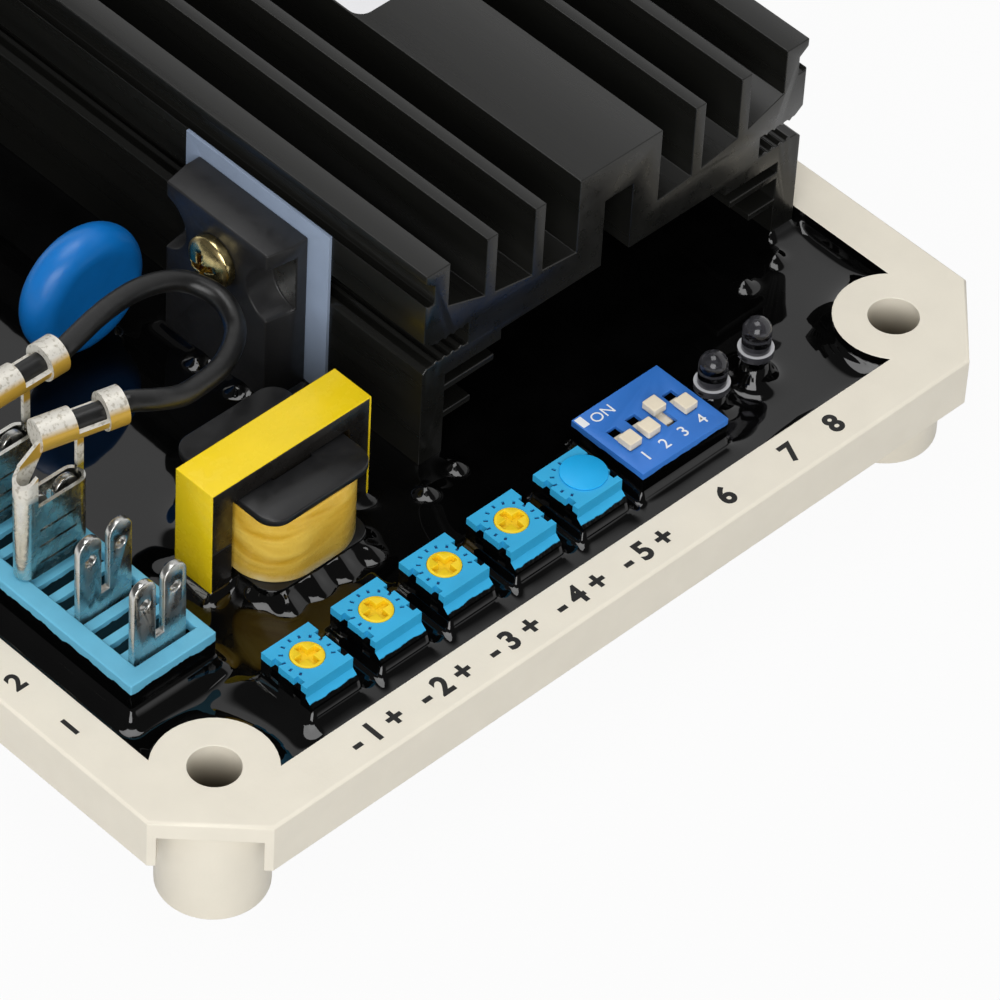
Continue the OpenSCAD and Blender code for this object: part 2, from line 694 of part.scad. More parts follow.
// Room in the potting for a box-shaped piece between two corners, from height z to the rim
module pot_box(x0, x1, y0, y1, z) {
    g = pot_gap;
    box(x0 - g, x1 + g, y0 - g, y1 + g, z, rim_z);
}
module pot_pin(d) {
    translate([0, 0, top]) cylinder(d = d + 2 * pot_gap, h = rim_z, $fn = 24);
}
module pot_flat(w, d) {
    pot_box(-w / 2, w / 2, -d / 2, d / 2, top);
}
module potting_compound() {
    g = pot_gap;
    color([0.05, 0.05, 0.06]) difference() {
        box(-cav_x + g, cav_x - g, -cav_y + g, cav_y - g, cav_z, pot_z);
        at_corners(hole_x, hole_y) cylinder(d = boss_d + 2 * g, h = rim_z);
        posts(g);
        difference() {
            box(-cav_x + board_gap - g, cav_x - board_gap + g,
                -cav_y + board_gap - g, cav_y - board_gap + g, board_b, top);
            at_corners(hole_x, hole_y) cylinder(d = boss_d + 2 * board_gap - 2 * g, h = rim_z);
        }
        for (u = [-hs_u, leg_u])
            pot_box(hs_x + u, hs_x + u + leg_t, front + hs_front, front + hs_front + hs_l, top);
        pot_box(hs_left - pad_t, hs_left - g, pad_cy - pad_w / 2, pad_cy + pad_w / 2, top + pad_z - g);
        pot_box(dev_x - dev_t, dev_x - g, dev_cy - dev_w / 2, dev_cy + dev_w / 2, top + dev_z - g);
        at_dev_leads() pot_flat(dev_lead_t, dev_lead_w);
        pot_box(tr_x - tape_u, tr_x + tape_u, tr_cy - tape_w / 2, tr_cy + tape_w / 2, top);
        at_tr_pins() pot_pin(pin_d);
        for (x = trim_xs)
            pot_box(x - trim_w / 2, x + trim_w / 2,
                trim_cy - trim_d / 2 - ledge_l, trim_cy + trim_d / 2, top);
        pot_box(dip_x - dip_w / 2, dip_x + dip_w / 2, dip_cy - dip_d / 2, dip_cy + dip_d / 2, top);
        for (x = [led_x1, led_x2])
            at_led_leads(x) pot_flat(led_lead, led_lead);
        at_var_leads() pot_pin(var_lead_d);
        pot_box(tb_x, tb_x + tb_w, tb_y, tb_y + tb_l, top);
    }
}

module screw_slot() {
    z0 = top + screw_h - slot_h / 2;
    z1 = z0 + slot_h;
    difference() {
        translate([hs_u - slot_l, z0]) square([slot_l + 1, slot_h]);
        for (k = [0 : 3]) {
            u = hs_u - slot_l + ridge_in + k * ridge_p;
            polygon([[u - ridge_h, z0 - eps], [u + ridge_h, z0 - eps], [u, z0 + ridge_h]]);
            polygon([[u - ridge_h, z1 + eps], [u + ridge_h, z1 + eps], [u, z1 - ridge_h]]);
        }
    }
    polygon([[hs_u - mouth_c, z1 - eps], [hs_u + eps, z1 + mouth_c * 0.75], [hs_u + 1, z1 - eps]]);
    polygon([[hs_u - mouth_c / 2, z0 + eps], [hs_u + eps, z0 - mouth_c / 2], [hs_u + 1, z0 + eps]]);
}
module hs_half() {
    difference() {
        union() {
            polygon([[0, top + web_h], [shelf_u, top + web_h], [shelf_u, top + shelf_h],
                [leg_u + eps, top + shelf_h], [leg_u + eps, top + root_out], [fin_a, top + root_a],
                [fin_b, top + root_b], [block_w / 2, top + root_in], [0, top + root_in]]);
            translate([leg_u, top]) square([leg_t, hs_h]);
            for (u = [fin_a, fin_b])
                translate([u - fin_t / 2, top + web_h + 1]) square([fin_t, hs_h - web_h - 1]);
            translate([0, top + web_h]) square([block_w / 2, hs_h - web_h]);
            translate([leg_u - tongue_a_l, top + tongue_a_h]) square([tongue_a_l + eps, tongue_t]);
            translate([leg_u - tongue_b_l, top + tongue_b_h]) square([tongue_b_l + eps, tongue_t]);
        }
        translate([-1, top + web_h - 1]) square([1 + mid_slot_w / 2, mid_slot_h + 1]);
        screw_slot();
        polygon([[hs_u - groove_l, top + groove_h], [hs_u - groove_l, top + groove_h + groove_w],
            [hs_u + 1, top + groove_h + groove_w + groove_up], [hs_u + 1, top + groove_h + groove_low],
            [hs_u - groove_l / 3, top + groove_h]]);
    }
}
module heatsink() {
    color([0.08, 0.08, 0.09]) difference() {
        translate([hs_x, front + hs_front + hs_l, 0]) rotate([90, 0, 0])
            linear_extrude(hs_l) {
                hs_half();
                mirror([1, 0]) hs_half();
            }
        translate([hs_left - 1, dev_cy, top + screw_h]) rotate([0, 90, 0])
            cylinder(d = screw_d + 2 * thread_gap, h = slot_l + 1, $fn = 32);
    }
}

module insulator_pad() {
    color([0.72, 0.79, 0.87]) difference() {
        box(hs_left - pad_t, hs_left, pad_cy - pad_w / 2, pad_cy + pad_w / 2,
            top + pad_z, top + pad_z + pad_h);
        translate([hs_left - 1, dev_cy, top + screw_h]) rotate([0, 90, 0])
            cylinder(d = screw_d + 2 * screw_gap, h = 2, $fn = 32);
    }
}
module power_device() {
    color([0.07, 0.07, 0.08]) difference() {
        translate([dev_x, dev_cy, top + dev_z]) linear_extrude(dev_h) polygon([
            [0, -dev_w / 2], [0, dev_w / 2], [-dev_side, dev_w / 2],
            [-dev_t, dev_w / 2 - dev_draft], [-dev_t, -dev_w / 2 + dev_draft], [-dev_side, -dev_w / 2]]);
        translate([dev_x - dev_t - 1, dev_cy, top + screw_h]) rotate([0, 90, 0]) {
            cylinder(d = screw_d + 2 * screw_gap, h = dev_t + 2, $fn = 32);
            for (s = [-1, 1])
                translate([0, s * dev_w / 2, 0]) cylinder(r = dev_notch_r, h = dev_notch_l + 1, $fn = 32);
        }
    }
}
module device_leads() {
    color([0.75, 0.75, 0.75]) at_dev_leads() translate([-dev_lead_t / 2, -dev_lead_w / 2, board_b])
        cube([dev_lead_t, dev_lead_w, board_t + dev_z]);
}
module device_screw() {
    shank = dev_t + pad_t + screw_reach;
    color([0.78, 0.68, 0.36])
        translate([dev_x - dev_t, dev_cy, top + screw_h]) rotate([0, -90, 0]) difference() {
            union() {
                translate([0, 0, -shank]) cylinder(d = screw_d, h = shank + head_h / 2, $fn = 32);
                intersection() {
                    cylinder(d = head_d, h = head_h);
                    translate([0, 0, head_h - head_r]) sphere(r = head_r);
                }
            }
            for (a = [0, 90])
                rotate([0, 0, a + recess_turn])
                    translate([-recess_l / 2, -recess_w / 2, head_h - recess_d])
                        cube([recess_l, recess_w, recess_d + 1]);
        }
}

module core_half() {
    difference() {
        translate([-core_w / 2, -core_t / 2, 0]) cube([core_w, core_t, core_h]);
        for (s = [-1, 1]) {
            w = (core_w - 2 * core_leg - core_mid) / 2;
            translate([s * (core_mid + w) / 2 - w / 2, -core_t, core_back]) cube([w, 2 * core_t, core_h]);
        }
    }
}
module core_lower() {
    color([0.16, 0.15, 0.15]) translate([tr_x, tr_cy, core_b]) core_half();
}
module core_upper() {
    color([0.16, 0.15, 0.15]) translate([tr_x, tr_cy, core_top]) rotate([180, 0, 0]) core_half();
}
module core_tape() {
    color([0.95, 0.83, 0.12]) difference() {
        box(tr_x - tape_u, tr_x + tape_u, tr_cy - tape_w / 2, tr_cy + tape_w / 2,
            top, core_top + tape_t);
        box(tr_x - core_w / 2, tr_x + core_w / 2, tr_cy - tape_w, tr_cy + tape_w, core_b, core_top);
    }
}
module round_plate(w, d, r, h) {
    translate([-w / 2 + r, -d / 2, 0]) cube([w - 2 * r, d, h]);
    translate([-w / 2, -d / 2 + r, 0]) cube([w, d - 2 * r, h]);
    at_corners(w / 2 - r, d / 2 - r) cylinder(r = r, h = h);
}
module bobbin() {
    z0 = win_b + bobbin_gap;
    h = win_t - win_b - 2 * bobbin_gap;
    tw = core_mid + 2 * (bobbin_gap + tube_t);
    td = core_t + 2 * (bobbin_gap + tube_t);
    color([0.09, 0.09, 0.09]) translate([tr_x, tr_cy, z0]) difference() {
        union() {
            round_plate(flange_w, flange_d, flange_r, flange_t);
            translate([0, 0, h - flange_t]) round_plate(flange_w, flange_d, flange_r, flange_t);
            translate([-tw / 2, -td / 2, 0]) cube([tw, td, h]);
        }
        translate([-core_mid / 2 - bobbin_gap, -core_t / 2 - bobbin_gap, -1])
            cube([core_mid + 2 * bobbin_gap, core_t + 2 * bobbin_gap, h + 2]);
    }
}
module winding() {
    z0 = win_b + bobbin_gap + flange_t;
    h = win_t - win_b - 2 * bobbin_gap - 2 * flange_t;
    tw = core_mid + 2 * (bobbin_gap + tube_t);
    td = core_t + 2 * (bobbin_gap + tube_t);
    color([0.85, 0.7, 0.24]) translate([tr_x, tr_cy, z0]) difference() {
        round_plate(wind_w, wind_d, wind_r, h);
        translate([-tw / 2, -td / 2, -1]) cube([tw, td, h + 2]);
    }
}
module transformer_pins() {
    color([0.75, 0.75, 0.75]) at_tr_pins() translate([0, 0, board_b])
        cylinder(d = pin_d, h = win_b + bobbin_gap - board_b, $fn = 24);
}

module trimmer_block() {
    difference() {
        union() {
            translate([-trim_w / 2, -trim_d / 2, 0]) cube([trim_w, trim_d, trim_h]);
            translate([-trim_w / 2, 0, 0]) rotate([90, 0, 90]) linear_extrude(trim_w) polygon([
                [-trim_d / 2, 0], [-trim_d / 2, ledge_h + ledge_fall / 2],
                [-trim_d / 2 - ledge_l, ledge_h - ledge_fall / 2], [-trim_d / 2 - ledge_l, 0]]);
        }
        for (m = [-1, 1], y = [notch_rear, -notch_front])
            translate([m * trim_w / 2 - notch_l, y - notch_w / 2, notch_z])
                cube([2 * notch_l, notch_w, trim_h]);
    }
}
module trimmer_scale() {
    for (j = [0 : tick_n - 1])
        rotate([0, 0, 90 - tick_span / 2 + j * tick_span / (tick_n - 1)])
            translate([rotor_d / 2 + tick_off, -tick_w / 2, trim_h - tick_d])
                cube([tick_l, tick_w, 1]);
}
module trimmer_body(k) {
    color([0.21, 0.64, 0.91]) translate([trim_xs[k], trim_cy, top]) difference() {
        trimmer_block();
        translate([0, 0, trim_h - rotor_h]) cylinder(d = rotor_d + 2 * rotor_gap, h = rotor_h + 1);
        trimmer_scale();
    }
}
module trimmer_rotor(k) {
    color([0.95, 0.82, 0.1]) translate([trim_xs[k], trim_cy, trim_top + rotor_up - rotor_h]) difference() {
        cylinder(d = rotor_d, h = rotor_h);
        for (a = [0, 90])
            rotate([0, 0, a]) translate([-cross_l / 2, -cross_w / 2, rotor_h - cross_d])
                cube([cross_l, cross_w, cross_d + 1]);
    }
}
module trimmer_body_1() {
    trimmer_body(0);
}
module trimmer_body_2() {
    trimmer_body(1);
}
module trimmer_body_3() {
    trimmer_body(2);
}
module trimmer_body_4() {
    trimmer_body(3);
}
module trimmer_body_5() {
    color([0.21, 0.64, 0.91]) translate([trim_xs[4], trim_cy, top]) difference() {
        trimmer_block();
        trimmer_scale();
    }
}
module trimmer_rotor_1() {
    trimmer_rotor(0);
}
module trimmer_rotor_2() {
    trimmer_rotor(1);
}
module trimmer_rotor_3() {
    trimmer_rotor(2);
}
module trimmer_rotor_4() {
    trimmer_rotor(3);
}
module trimmer_seal_5() {
    color([0.16, 0.6, 0.9]) translate([trim_xs[4] + seal_shift, trim_cy, trim_top])
        cylinder(d = seal_d, h = seal_t);
}
module trimmer_pins() {
    color([0.75, 0.75, 0.75]) at_trim_pins() translate([0, 0, board_b])
        cylinder(d = trim_pin_d, h = board_t, $fn = 24);
}

module dip_box(z0, z1) {
    box(dip_x - dip_w / 2, dip_x + dip_w / 2, dip_cy - dip_d / 2, dip_cy + dip_d / 2, z0, z1);
}
module dip_base() {
    color([0.1, 0.1, 0.1]) dip_box(top, top + dip_base_h);
}
// Room for one slider: a stem or foot w wide and l long with its travel, from height z up by h
module slide_room(w, l, z, h) {
    x = w + 2 * slide_gap;
    y = l + travel + 2 * slide_gap;
    translate([-x / 2, -y / 2, z]) cube([x, y, h]);
}
module dip_cover() {
    color([0.18, 0.44, 0.82]) difference() {
        dip_box(top + dip_base_h, dip_top);
        for (k = four)
            translate([dip_x + k * dip_p, window_y, 0]) {
                slide_room(stem_w, stem_l, dip_top - 2 * dip_top_t, 4 * dip_top_t);
                slide_room(foot_w, foot_l, top + dip_base_h - 1, foot_room + 1);
            }
    }
}
module dip_slider(k, side) {
    color([0.93, 0.9, 0.82])
        translate([dip_x + four[k] * dip_p, window_y + side * travel / 2, dip_top - dip_top_t - slide_gap]) {
            translate([-foot_w / 2, -foot_l / 2, -foot_h]) cube([foot_w, foot_l, foot_h]);
            translate([-stem_w / 2, -stem_l / 2, -foot_h / 2])
                cube([stem_w, stem_l, foot_h / 2 + dip_top_t + slide_gap + stem_up]);
            translate([-knob_w / 2, -knob_l / 2, dip_top_t + 2 * slide_gap])
                cube([knob_w, knob_l, stem_up - slide_gap]);
        }
}
module dip_slider_1() {
    dip_slider(0, -1);
}
module dip_slider_2() {
    dip_slider(1, -1);
}
module dip_slider_3() {
    dip_slider(2, 1);
}
module dip_slider_4() {
    dip_slider(3, -1);
}
module dip_pins() {
    color([0.75, 0.75, 0.75]) at_dip_pins() translate([0, 0, board_b])
        cylinder(d = dip_pin_d, h = board_t, $fn = 24);
}

module led_lens(x, z) {
    color([0.85, 0.88, 0.9]) translate([x, led_cy, top + z]) {
        cylinder(d = led_flange_d, h = led_flange_t);
        cylinder(d = led_d, h = led_h - led_d / 2);
        translate([0, 0, led_h - led_d / 2]) sphere(d = led_d);
    }
}
module led_leads(x, z) {
    color([0.75, 0.75, 0.75]) at_led_leads(x)
        translate([-led_lead / 2, -led_lead / 2, board_b]) cube([led_lead, led_lead, board_t + z]);
}
module led_1_lens() {
    led_lens(led_x1, led_z1);
}
module led_1_leads() {
    led_leads(led_x1, led_z1);
}
module led_2_lens() {
    led_lens(led_x2, led_z2);
}
module led_2_leads() {
    led_leads(led_x2, led_z2);
}

module well(w) {
    translate([blade_off - well_l / 2, -w / 2, tb_top - well_d]) cube([well_l, w, well_d + 1]);
}
module terminal_block() {
    well_end = tb_end - blade_slot_w / 2;
    color([0.34, 0.7, 0.86]) difference() {
        box(tb_x, tb_x + tb_w, tb_y, tb_y + tb_l, top, tb_top);
        box(well_x, well_x + well_l, tb_y + well_end, tb_y + tb_l - well_end,
            tb_top - rib_drop, tb_top + 1);
        at_blades() {
            well(blade_slot_w);
            translate([-blade_w / 2 - blade_fit, -blade_t / 2 - blade_fit, top - 1])
                cube([blade_w + 2 * blade_fit, blade_t + 2 * blade_fit, tb_h]);
        }
        for (k = [0 : tb_n - 2], j = [1, 2])
            translate([blade_x, blade_y + (k + j / 3) * tb_p, 0]) well(well_w);
    }
}
module blade_shape() {
    difference() {
        union() {
            translate([-blade_w / 2, top]) square([blade_w, blade_root]);
            for (s = [-1, 1]) translate([s * (prong_w + prong_gap) / 2, 0]) {
                translate([-prong_w / 2, top + 1]) square([prong_w, blade_h - prong_w / 2 - 1]);
                translate([0, top + blade_h - prong_w / 2]) circle(d = prong_w);
                translate([-blade_leg / 2, board_b]) square([blade_leg, board_t + 1]);
            }
        }
        for (s = [-1, 1])
            translate([s * (prong_w + prong_gap) / 2, top + prong_hole_h]) circle(d = prong_hole_d, $fn = 24);
    }
}
module terminal_blades() {
    color([0.8, 0.8, 0.78]) at_blades() translate([0, blade_t / 2, 0]) rotate([90, 0, 0])
        linear_extrude(blade_t) blade_shape();
}

module clip_tube(d, h) {
    translate([-(clip_w - clip_t) / 2, -d / 2, 0]) cube([clip_w - clip_t, d, h]);
    for (s = [-1, 1]) translate([s * (clip_w - clip_t) / 2, 0, 0]) cylinder(d = d, h = h);
}
module clip() {
    lip_d = clip_t / 2 - blade_t / 2 - clip_fit - sheet_t / 2;
    side = clip_w / 2;
    difference() {
        clip_tube(clip_t, clip_h + cheek_h);
        translate([0, 0, -1]) clip_tube(clip_t - 2 * sheet_t, clip_h + cheek_h + 2);
        translate([cheek_w - side, -clip_t, clip_h]) cube([clip_w, 2 * clip_t, cheek_h + 1]);
        translate([0, clip_t, clip_h]) rotate([90, 0, 0]) linear_extrude(2 * clip_t) polygon([
            [-side - 1, cheek_cut], [-side, cheek_cut], [cheek_w - side, cheek_h],
            [cheek_w - side, cheek_h + 1], [-side - 1, cheek_h + 1]]);
        translate([-lip_gap / 2, 0, -1]) cube([lip_gap, clip_t, clip_h - band_h + 1]);
        for (k = [0 : 2])
            translate([-rib_l / 2, -clip_t, rib_z + k * rib_p]) cube([rib_l, clip_t, rib_slot]);
    }
    for (m = [-1, 1])
        translate([m * (lip_gap + lip_w) / 2 - lip_w / 2, blade_t / 2 + clip_fit, 0])
            cube([lip_w, lip_d, clip_h - band_h]);
}
// Both sides of the neck: the barrel's axis lies h above the clip, its end x from the blade
module neck(x, h) {
    side = clip_w / 2;
    translate([0, clip_t / 2, clip_h]) rotate([90, 0, 0]) linear_extrude(sheet_t) polygon([
        [clip_t / 2 - side, -eps], [clip_t / 2 - side, cheek_h], [x - cheek_out, h],
        [x + post_w, h], [cheek_w - side, -eps]]);
    translate([side - post_w, -sheet_t / 2, clip_h - eps])
        cube([post_w, sheet_t, h - con_d / 2 + post_sink + eps]);
}
module barrel() {
    con_end = con_l - con_start;
    difference() {
        union() {
            translate([0, 0, -con_start]) cylinder(d = con_d, h = con_l);
            difference() {
                translate([0, 0, con_end - eps]) cylinder(d = con_d, h = ins_start - con_end + 2 * eps);
                translate([-con_d, -con_d, con_end]) cube([con_d, 2 * con_d, ins_start - con_end]);
            }
            translate([0, 0, ins_start]) cylinder(d = ins_d, h = ins_l);
        }
        translate([0, 0, -wire_in]) cylinder(d = wire_d + 2 * wire_fit, h = wire_in + crimp_end + 1);
    }
}
module receptacle(y, bh, reach, turn) {
    clip_b = tb_top + clip_z;
    color([0.82, 0.76, 0.58]) {
        translate([blade_x, y, clip_b]) {
            clip();
            neck(reach - con_start * cos(turn), top + bh - clip_b - clip_h);
        }
        translate([blade_x + reach, y + barrel_back, top + bh])
            rotate([0, 0, turn]) rotate([0, 90, 0]) barrel();
    }
}
module receptacle_1() {
    receptacle(link_y1, barrel_h1, reach_1, turn_1);
}
module receptacle_2() {
    receptacle(link_y2, barrel_h2, reach_2, turn_2);
}

module varistor() {
    r = var_t / 2;
    color([0.07, 0.44, 0.75]) difference() {
        translate([var_x, var_cy, top + var_h]) rotate([90, 0, 0]) rotate_extrude() {
            translate([0, -r]) square([var_d / 2 - r, var_t]);
            translate([var_d / 2 - r, 0]) circle(r = r);
        }
        at_var_leads() translate([0, 0, top])
            cylinder(d = var_lead_d + 2 * var_fit, h = var_lead_h, $fn = 24);
    }
}
module varistor_leads() {
    color([0.75, 0.75, 0.75]) at_var_leads() translate([0, 0, board_b])
        cylinder(d = var_lead_d, h = board_t + var_lead_h, $fn = 24);
}

function axis_point(y, h, reach, turn, t) = [
    blade_x + reach + t * cos(turn), y + barrel_back + t * sin(turn), top + h];
function axis1(t) = axis_point(link_y1, barrel_h1, reach_1, turn_1, t);
function axis2(t) = axis_point(link_y2, barrel_h2, reach_2, turn_2, t);
route = concat(
    [axis1(-wire_in), axis1(crimp_end), axis1(crimp_end + 1)],
    [for (q = wire_route) [loop_x + q[0] * loop_w, front + q[1], top + q[2]]],
    [axis2(crimp_end + 1), axis2(crimp_end), axis2(-wire_in)]);
function unit(v) = v / norm(v);
function tangent(i) = unit(route[min(i + 1, len(route) - 1)] - route[max(i - 1, 0)]);
function ring(i) = let (t = tangent(i), n = unit(cross(t, [0, 0, 1])), b = cross(n, t))
    [for (k = [0 : wire_sides - 1]) let (a = 360 * k / wire_sides)
        route[i] + wire_d / 2 * (cos(a) * n + sin(a) * b)];
module link_wire() {
    m = wire_sides;
    count = len(route);
    color([0.12, 0.12, 0.12]) polyhedron(
        points = [for (i = [0 : count - 1]) each ring(i)],
        faces = concat(
            [[for (k = [0 : m - 1]) m - 1 - k]],
            [for (i = [0 : count - 2], k = [0 : m - 1])
                [i * m + k, i * m + (k + 1) % m, (i + 1) * m + (k + 1) % m]],
            [for (i = [0 : count - 2], k = [0 : m - 1])
                [i * m + k, (i + 1) * m + (k + 1) % m, (i + 1) * m + k]],
            [[for (k = [0 : m - 1]) (count - 1) * m + k]]));
}

case_tray();
circuit_board();
potting_compound();
heatsink();
insulator_pad();
power_device();
device_leads();
device_screw();
core_lower();
core_upper();
core_tape();
bobbin();
winding();
transformer_pins();
trimmer_body_1();
trimmer_body_2();
trimmer_body_3();
trimmer_body_4();
trimmer_body_5();
trimmer_rotor_1();
trimmer_rotor_2();
trimmer_rotor_3();
trimmer_rotor_4();
trimmer_seal_5();
trimmer_pins();
dip_base();
dip_cover();
dip_slider_1();
dip_slider_2();
dip_slider_3();
dip_slider_4();
dip_pins();
led_1_lens();
led_1_leads();
led_2_lens();
led_2_leads();
terminal_block();
terminal_blades();
receptacle_1();
receptacle_2();
link_wire();
varistor();
varistor_leads();
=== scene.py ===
import math

import bpy
import numpy as np
from mathutils import Matrix, Vector


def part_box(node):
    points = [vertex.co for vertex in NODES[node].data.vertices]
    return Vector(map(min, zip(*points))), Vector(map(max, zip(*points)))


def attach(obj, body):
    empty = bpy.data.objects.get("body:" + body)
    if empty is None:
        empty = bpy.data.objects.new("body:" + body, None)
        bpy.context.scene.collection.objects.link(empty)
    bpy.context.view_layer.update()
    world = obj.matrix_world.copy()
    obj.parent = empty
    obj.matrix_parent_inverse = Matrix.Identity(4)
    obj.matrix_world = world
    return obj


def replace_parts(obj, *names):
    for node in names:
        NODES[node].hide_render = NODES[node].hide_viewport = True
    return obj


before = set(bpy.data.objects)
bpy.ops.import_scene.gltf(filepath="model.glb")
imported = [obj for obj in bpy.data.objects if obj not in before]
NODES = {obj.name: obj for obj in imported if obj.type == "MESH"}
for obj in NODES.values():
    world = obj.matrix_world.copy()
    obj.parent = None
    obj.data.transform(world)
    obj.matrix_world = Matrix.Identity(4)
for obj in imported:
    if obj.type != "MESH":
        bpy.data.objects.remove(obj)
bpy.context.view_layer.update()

SCENE = bpy.context.scene
MM = 0.001
UNIT = "unit"


def box(node):
    """Lowest and highest corner of a solid, in millimetres."""
    low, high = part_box(node)
    return [c / MM for c in low], [c / MM for c in high]


def middle(node):
    """Centre of a solid's box, in millimetres."""
    low, high = box(node)
    return [(a + b) / 2 for a, b in zip(low, high)]


def numbered(name, count):
    """Names of nodes that repeat: name_1, name_2 and so on."""
    return [f"{name}_{k}" for k in range(1, count + 1)]


# Sizes in millimetres, from the solids' boxes where these show them
CASE_LOW, CASE_HIGH = box("case_tray")
FRONT = CASE_LOW[1]
RIM_Z = CASE_HIGH[2]
RIM_W = 5.35
CAV_X = CASE_HIGH[0] - RIM_W
CAV_Y = CASE_HIGH[1] - RIM_W
HOLE_INSET = 9.4
HOLE_X = CASE_HIGH[0] - HOLE_INSET
HOLE_Y = CASE_HIGH[1] - HOLE_INSET
HOLE_R = 2.6
BOSS_R = 6.2
POT_Z = box("potting_compound")[1][2]
BOARD_Z = box("circuit_board")[1][2]
SINK_LOW, SINK_HIGH = box("heatsink")
LEG_T = 3.1
TRIM_TOP = box("trimmer_body_1")[1][2]
TRIM_FRONT = box("trimmer_body_1")[0][1]
DIP_TOP = box("dip_cover")[1][2]
BLOCK_TOP = box("terminal_block")[1][2]
BLADE_TOP = box("terminal_blades")[1][2]
WINDING_Z = box("winding")[0][2]

TRIMMERS = numbered("trimmer_body", 5)
ROTORS = numbered("trimmer_rotor", 4)
SLIDERS = numbered("dip_slider", 4)
LENSES = ["led_1_lens", "led_2_lens"]
TERMINALS = 13


def make_camera():
    """Camera at the photograph's viewing angle, without shift."""
    azimuth, elevation, roll = (math.radians(a) for a in (-46.3414, 45.2408, 3.4222))
    aim = Vector((9.2768, -47.7197, 0)) * MM
    distance = 682.5634 * MM
    image_lengths = 6.8486459
    flat = math.cos(elevation)
    back = Vector((math.sin(azimuth) * flat, -math.cos(azimuth) * flat, math.sin(elevation)))
    level = Vector((math.cos(azimuth), math.sin(azimuth), 0))
    right = Matrix.Rotation(roll, 3, back) @ level
    up = back.cross(right)
    data = bpy.data.cameras.new("camera")
    data.sensor_width = 36
    data.lens = data.sensor_width * image_lengths
    data.clip_start = 0.01
    data.clip_end = 20
    camera = bpy.data.objects.new("camera", data)
    SCENE.collection.objects.link(camera)
    turn = Matrix((right, up, back)).transposed().to_4x4()
    camera.matrix_world = Matrix.Translation(aim + back * distance) @ turn
    SCENE.camera = camera


make_camera()


def lin(r, g, b):
    """Linear colour of a colour given as 0-255 numbers."""
    def one(c):
        c /= 255
        return c / 12.92 if c <= 0.04045 else ((c + 0.055) / 1.055) ** 2.4
    return (one(r), one(g), one(b), 1.0)


RESIN = lin(5, 5, 5)


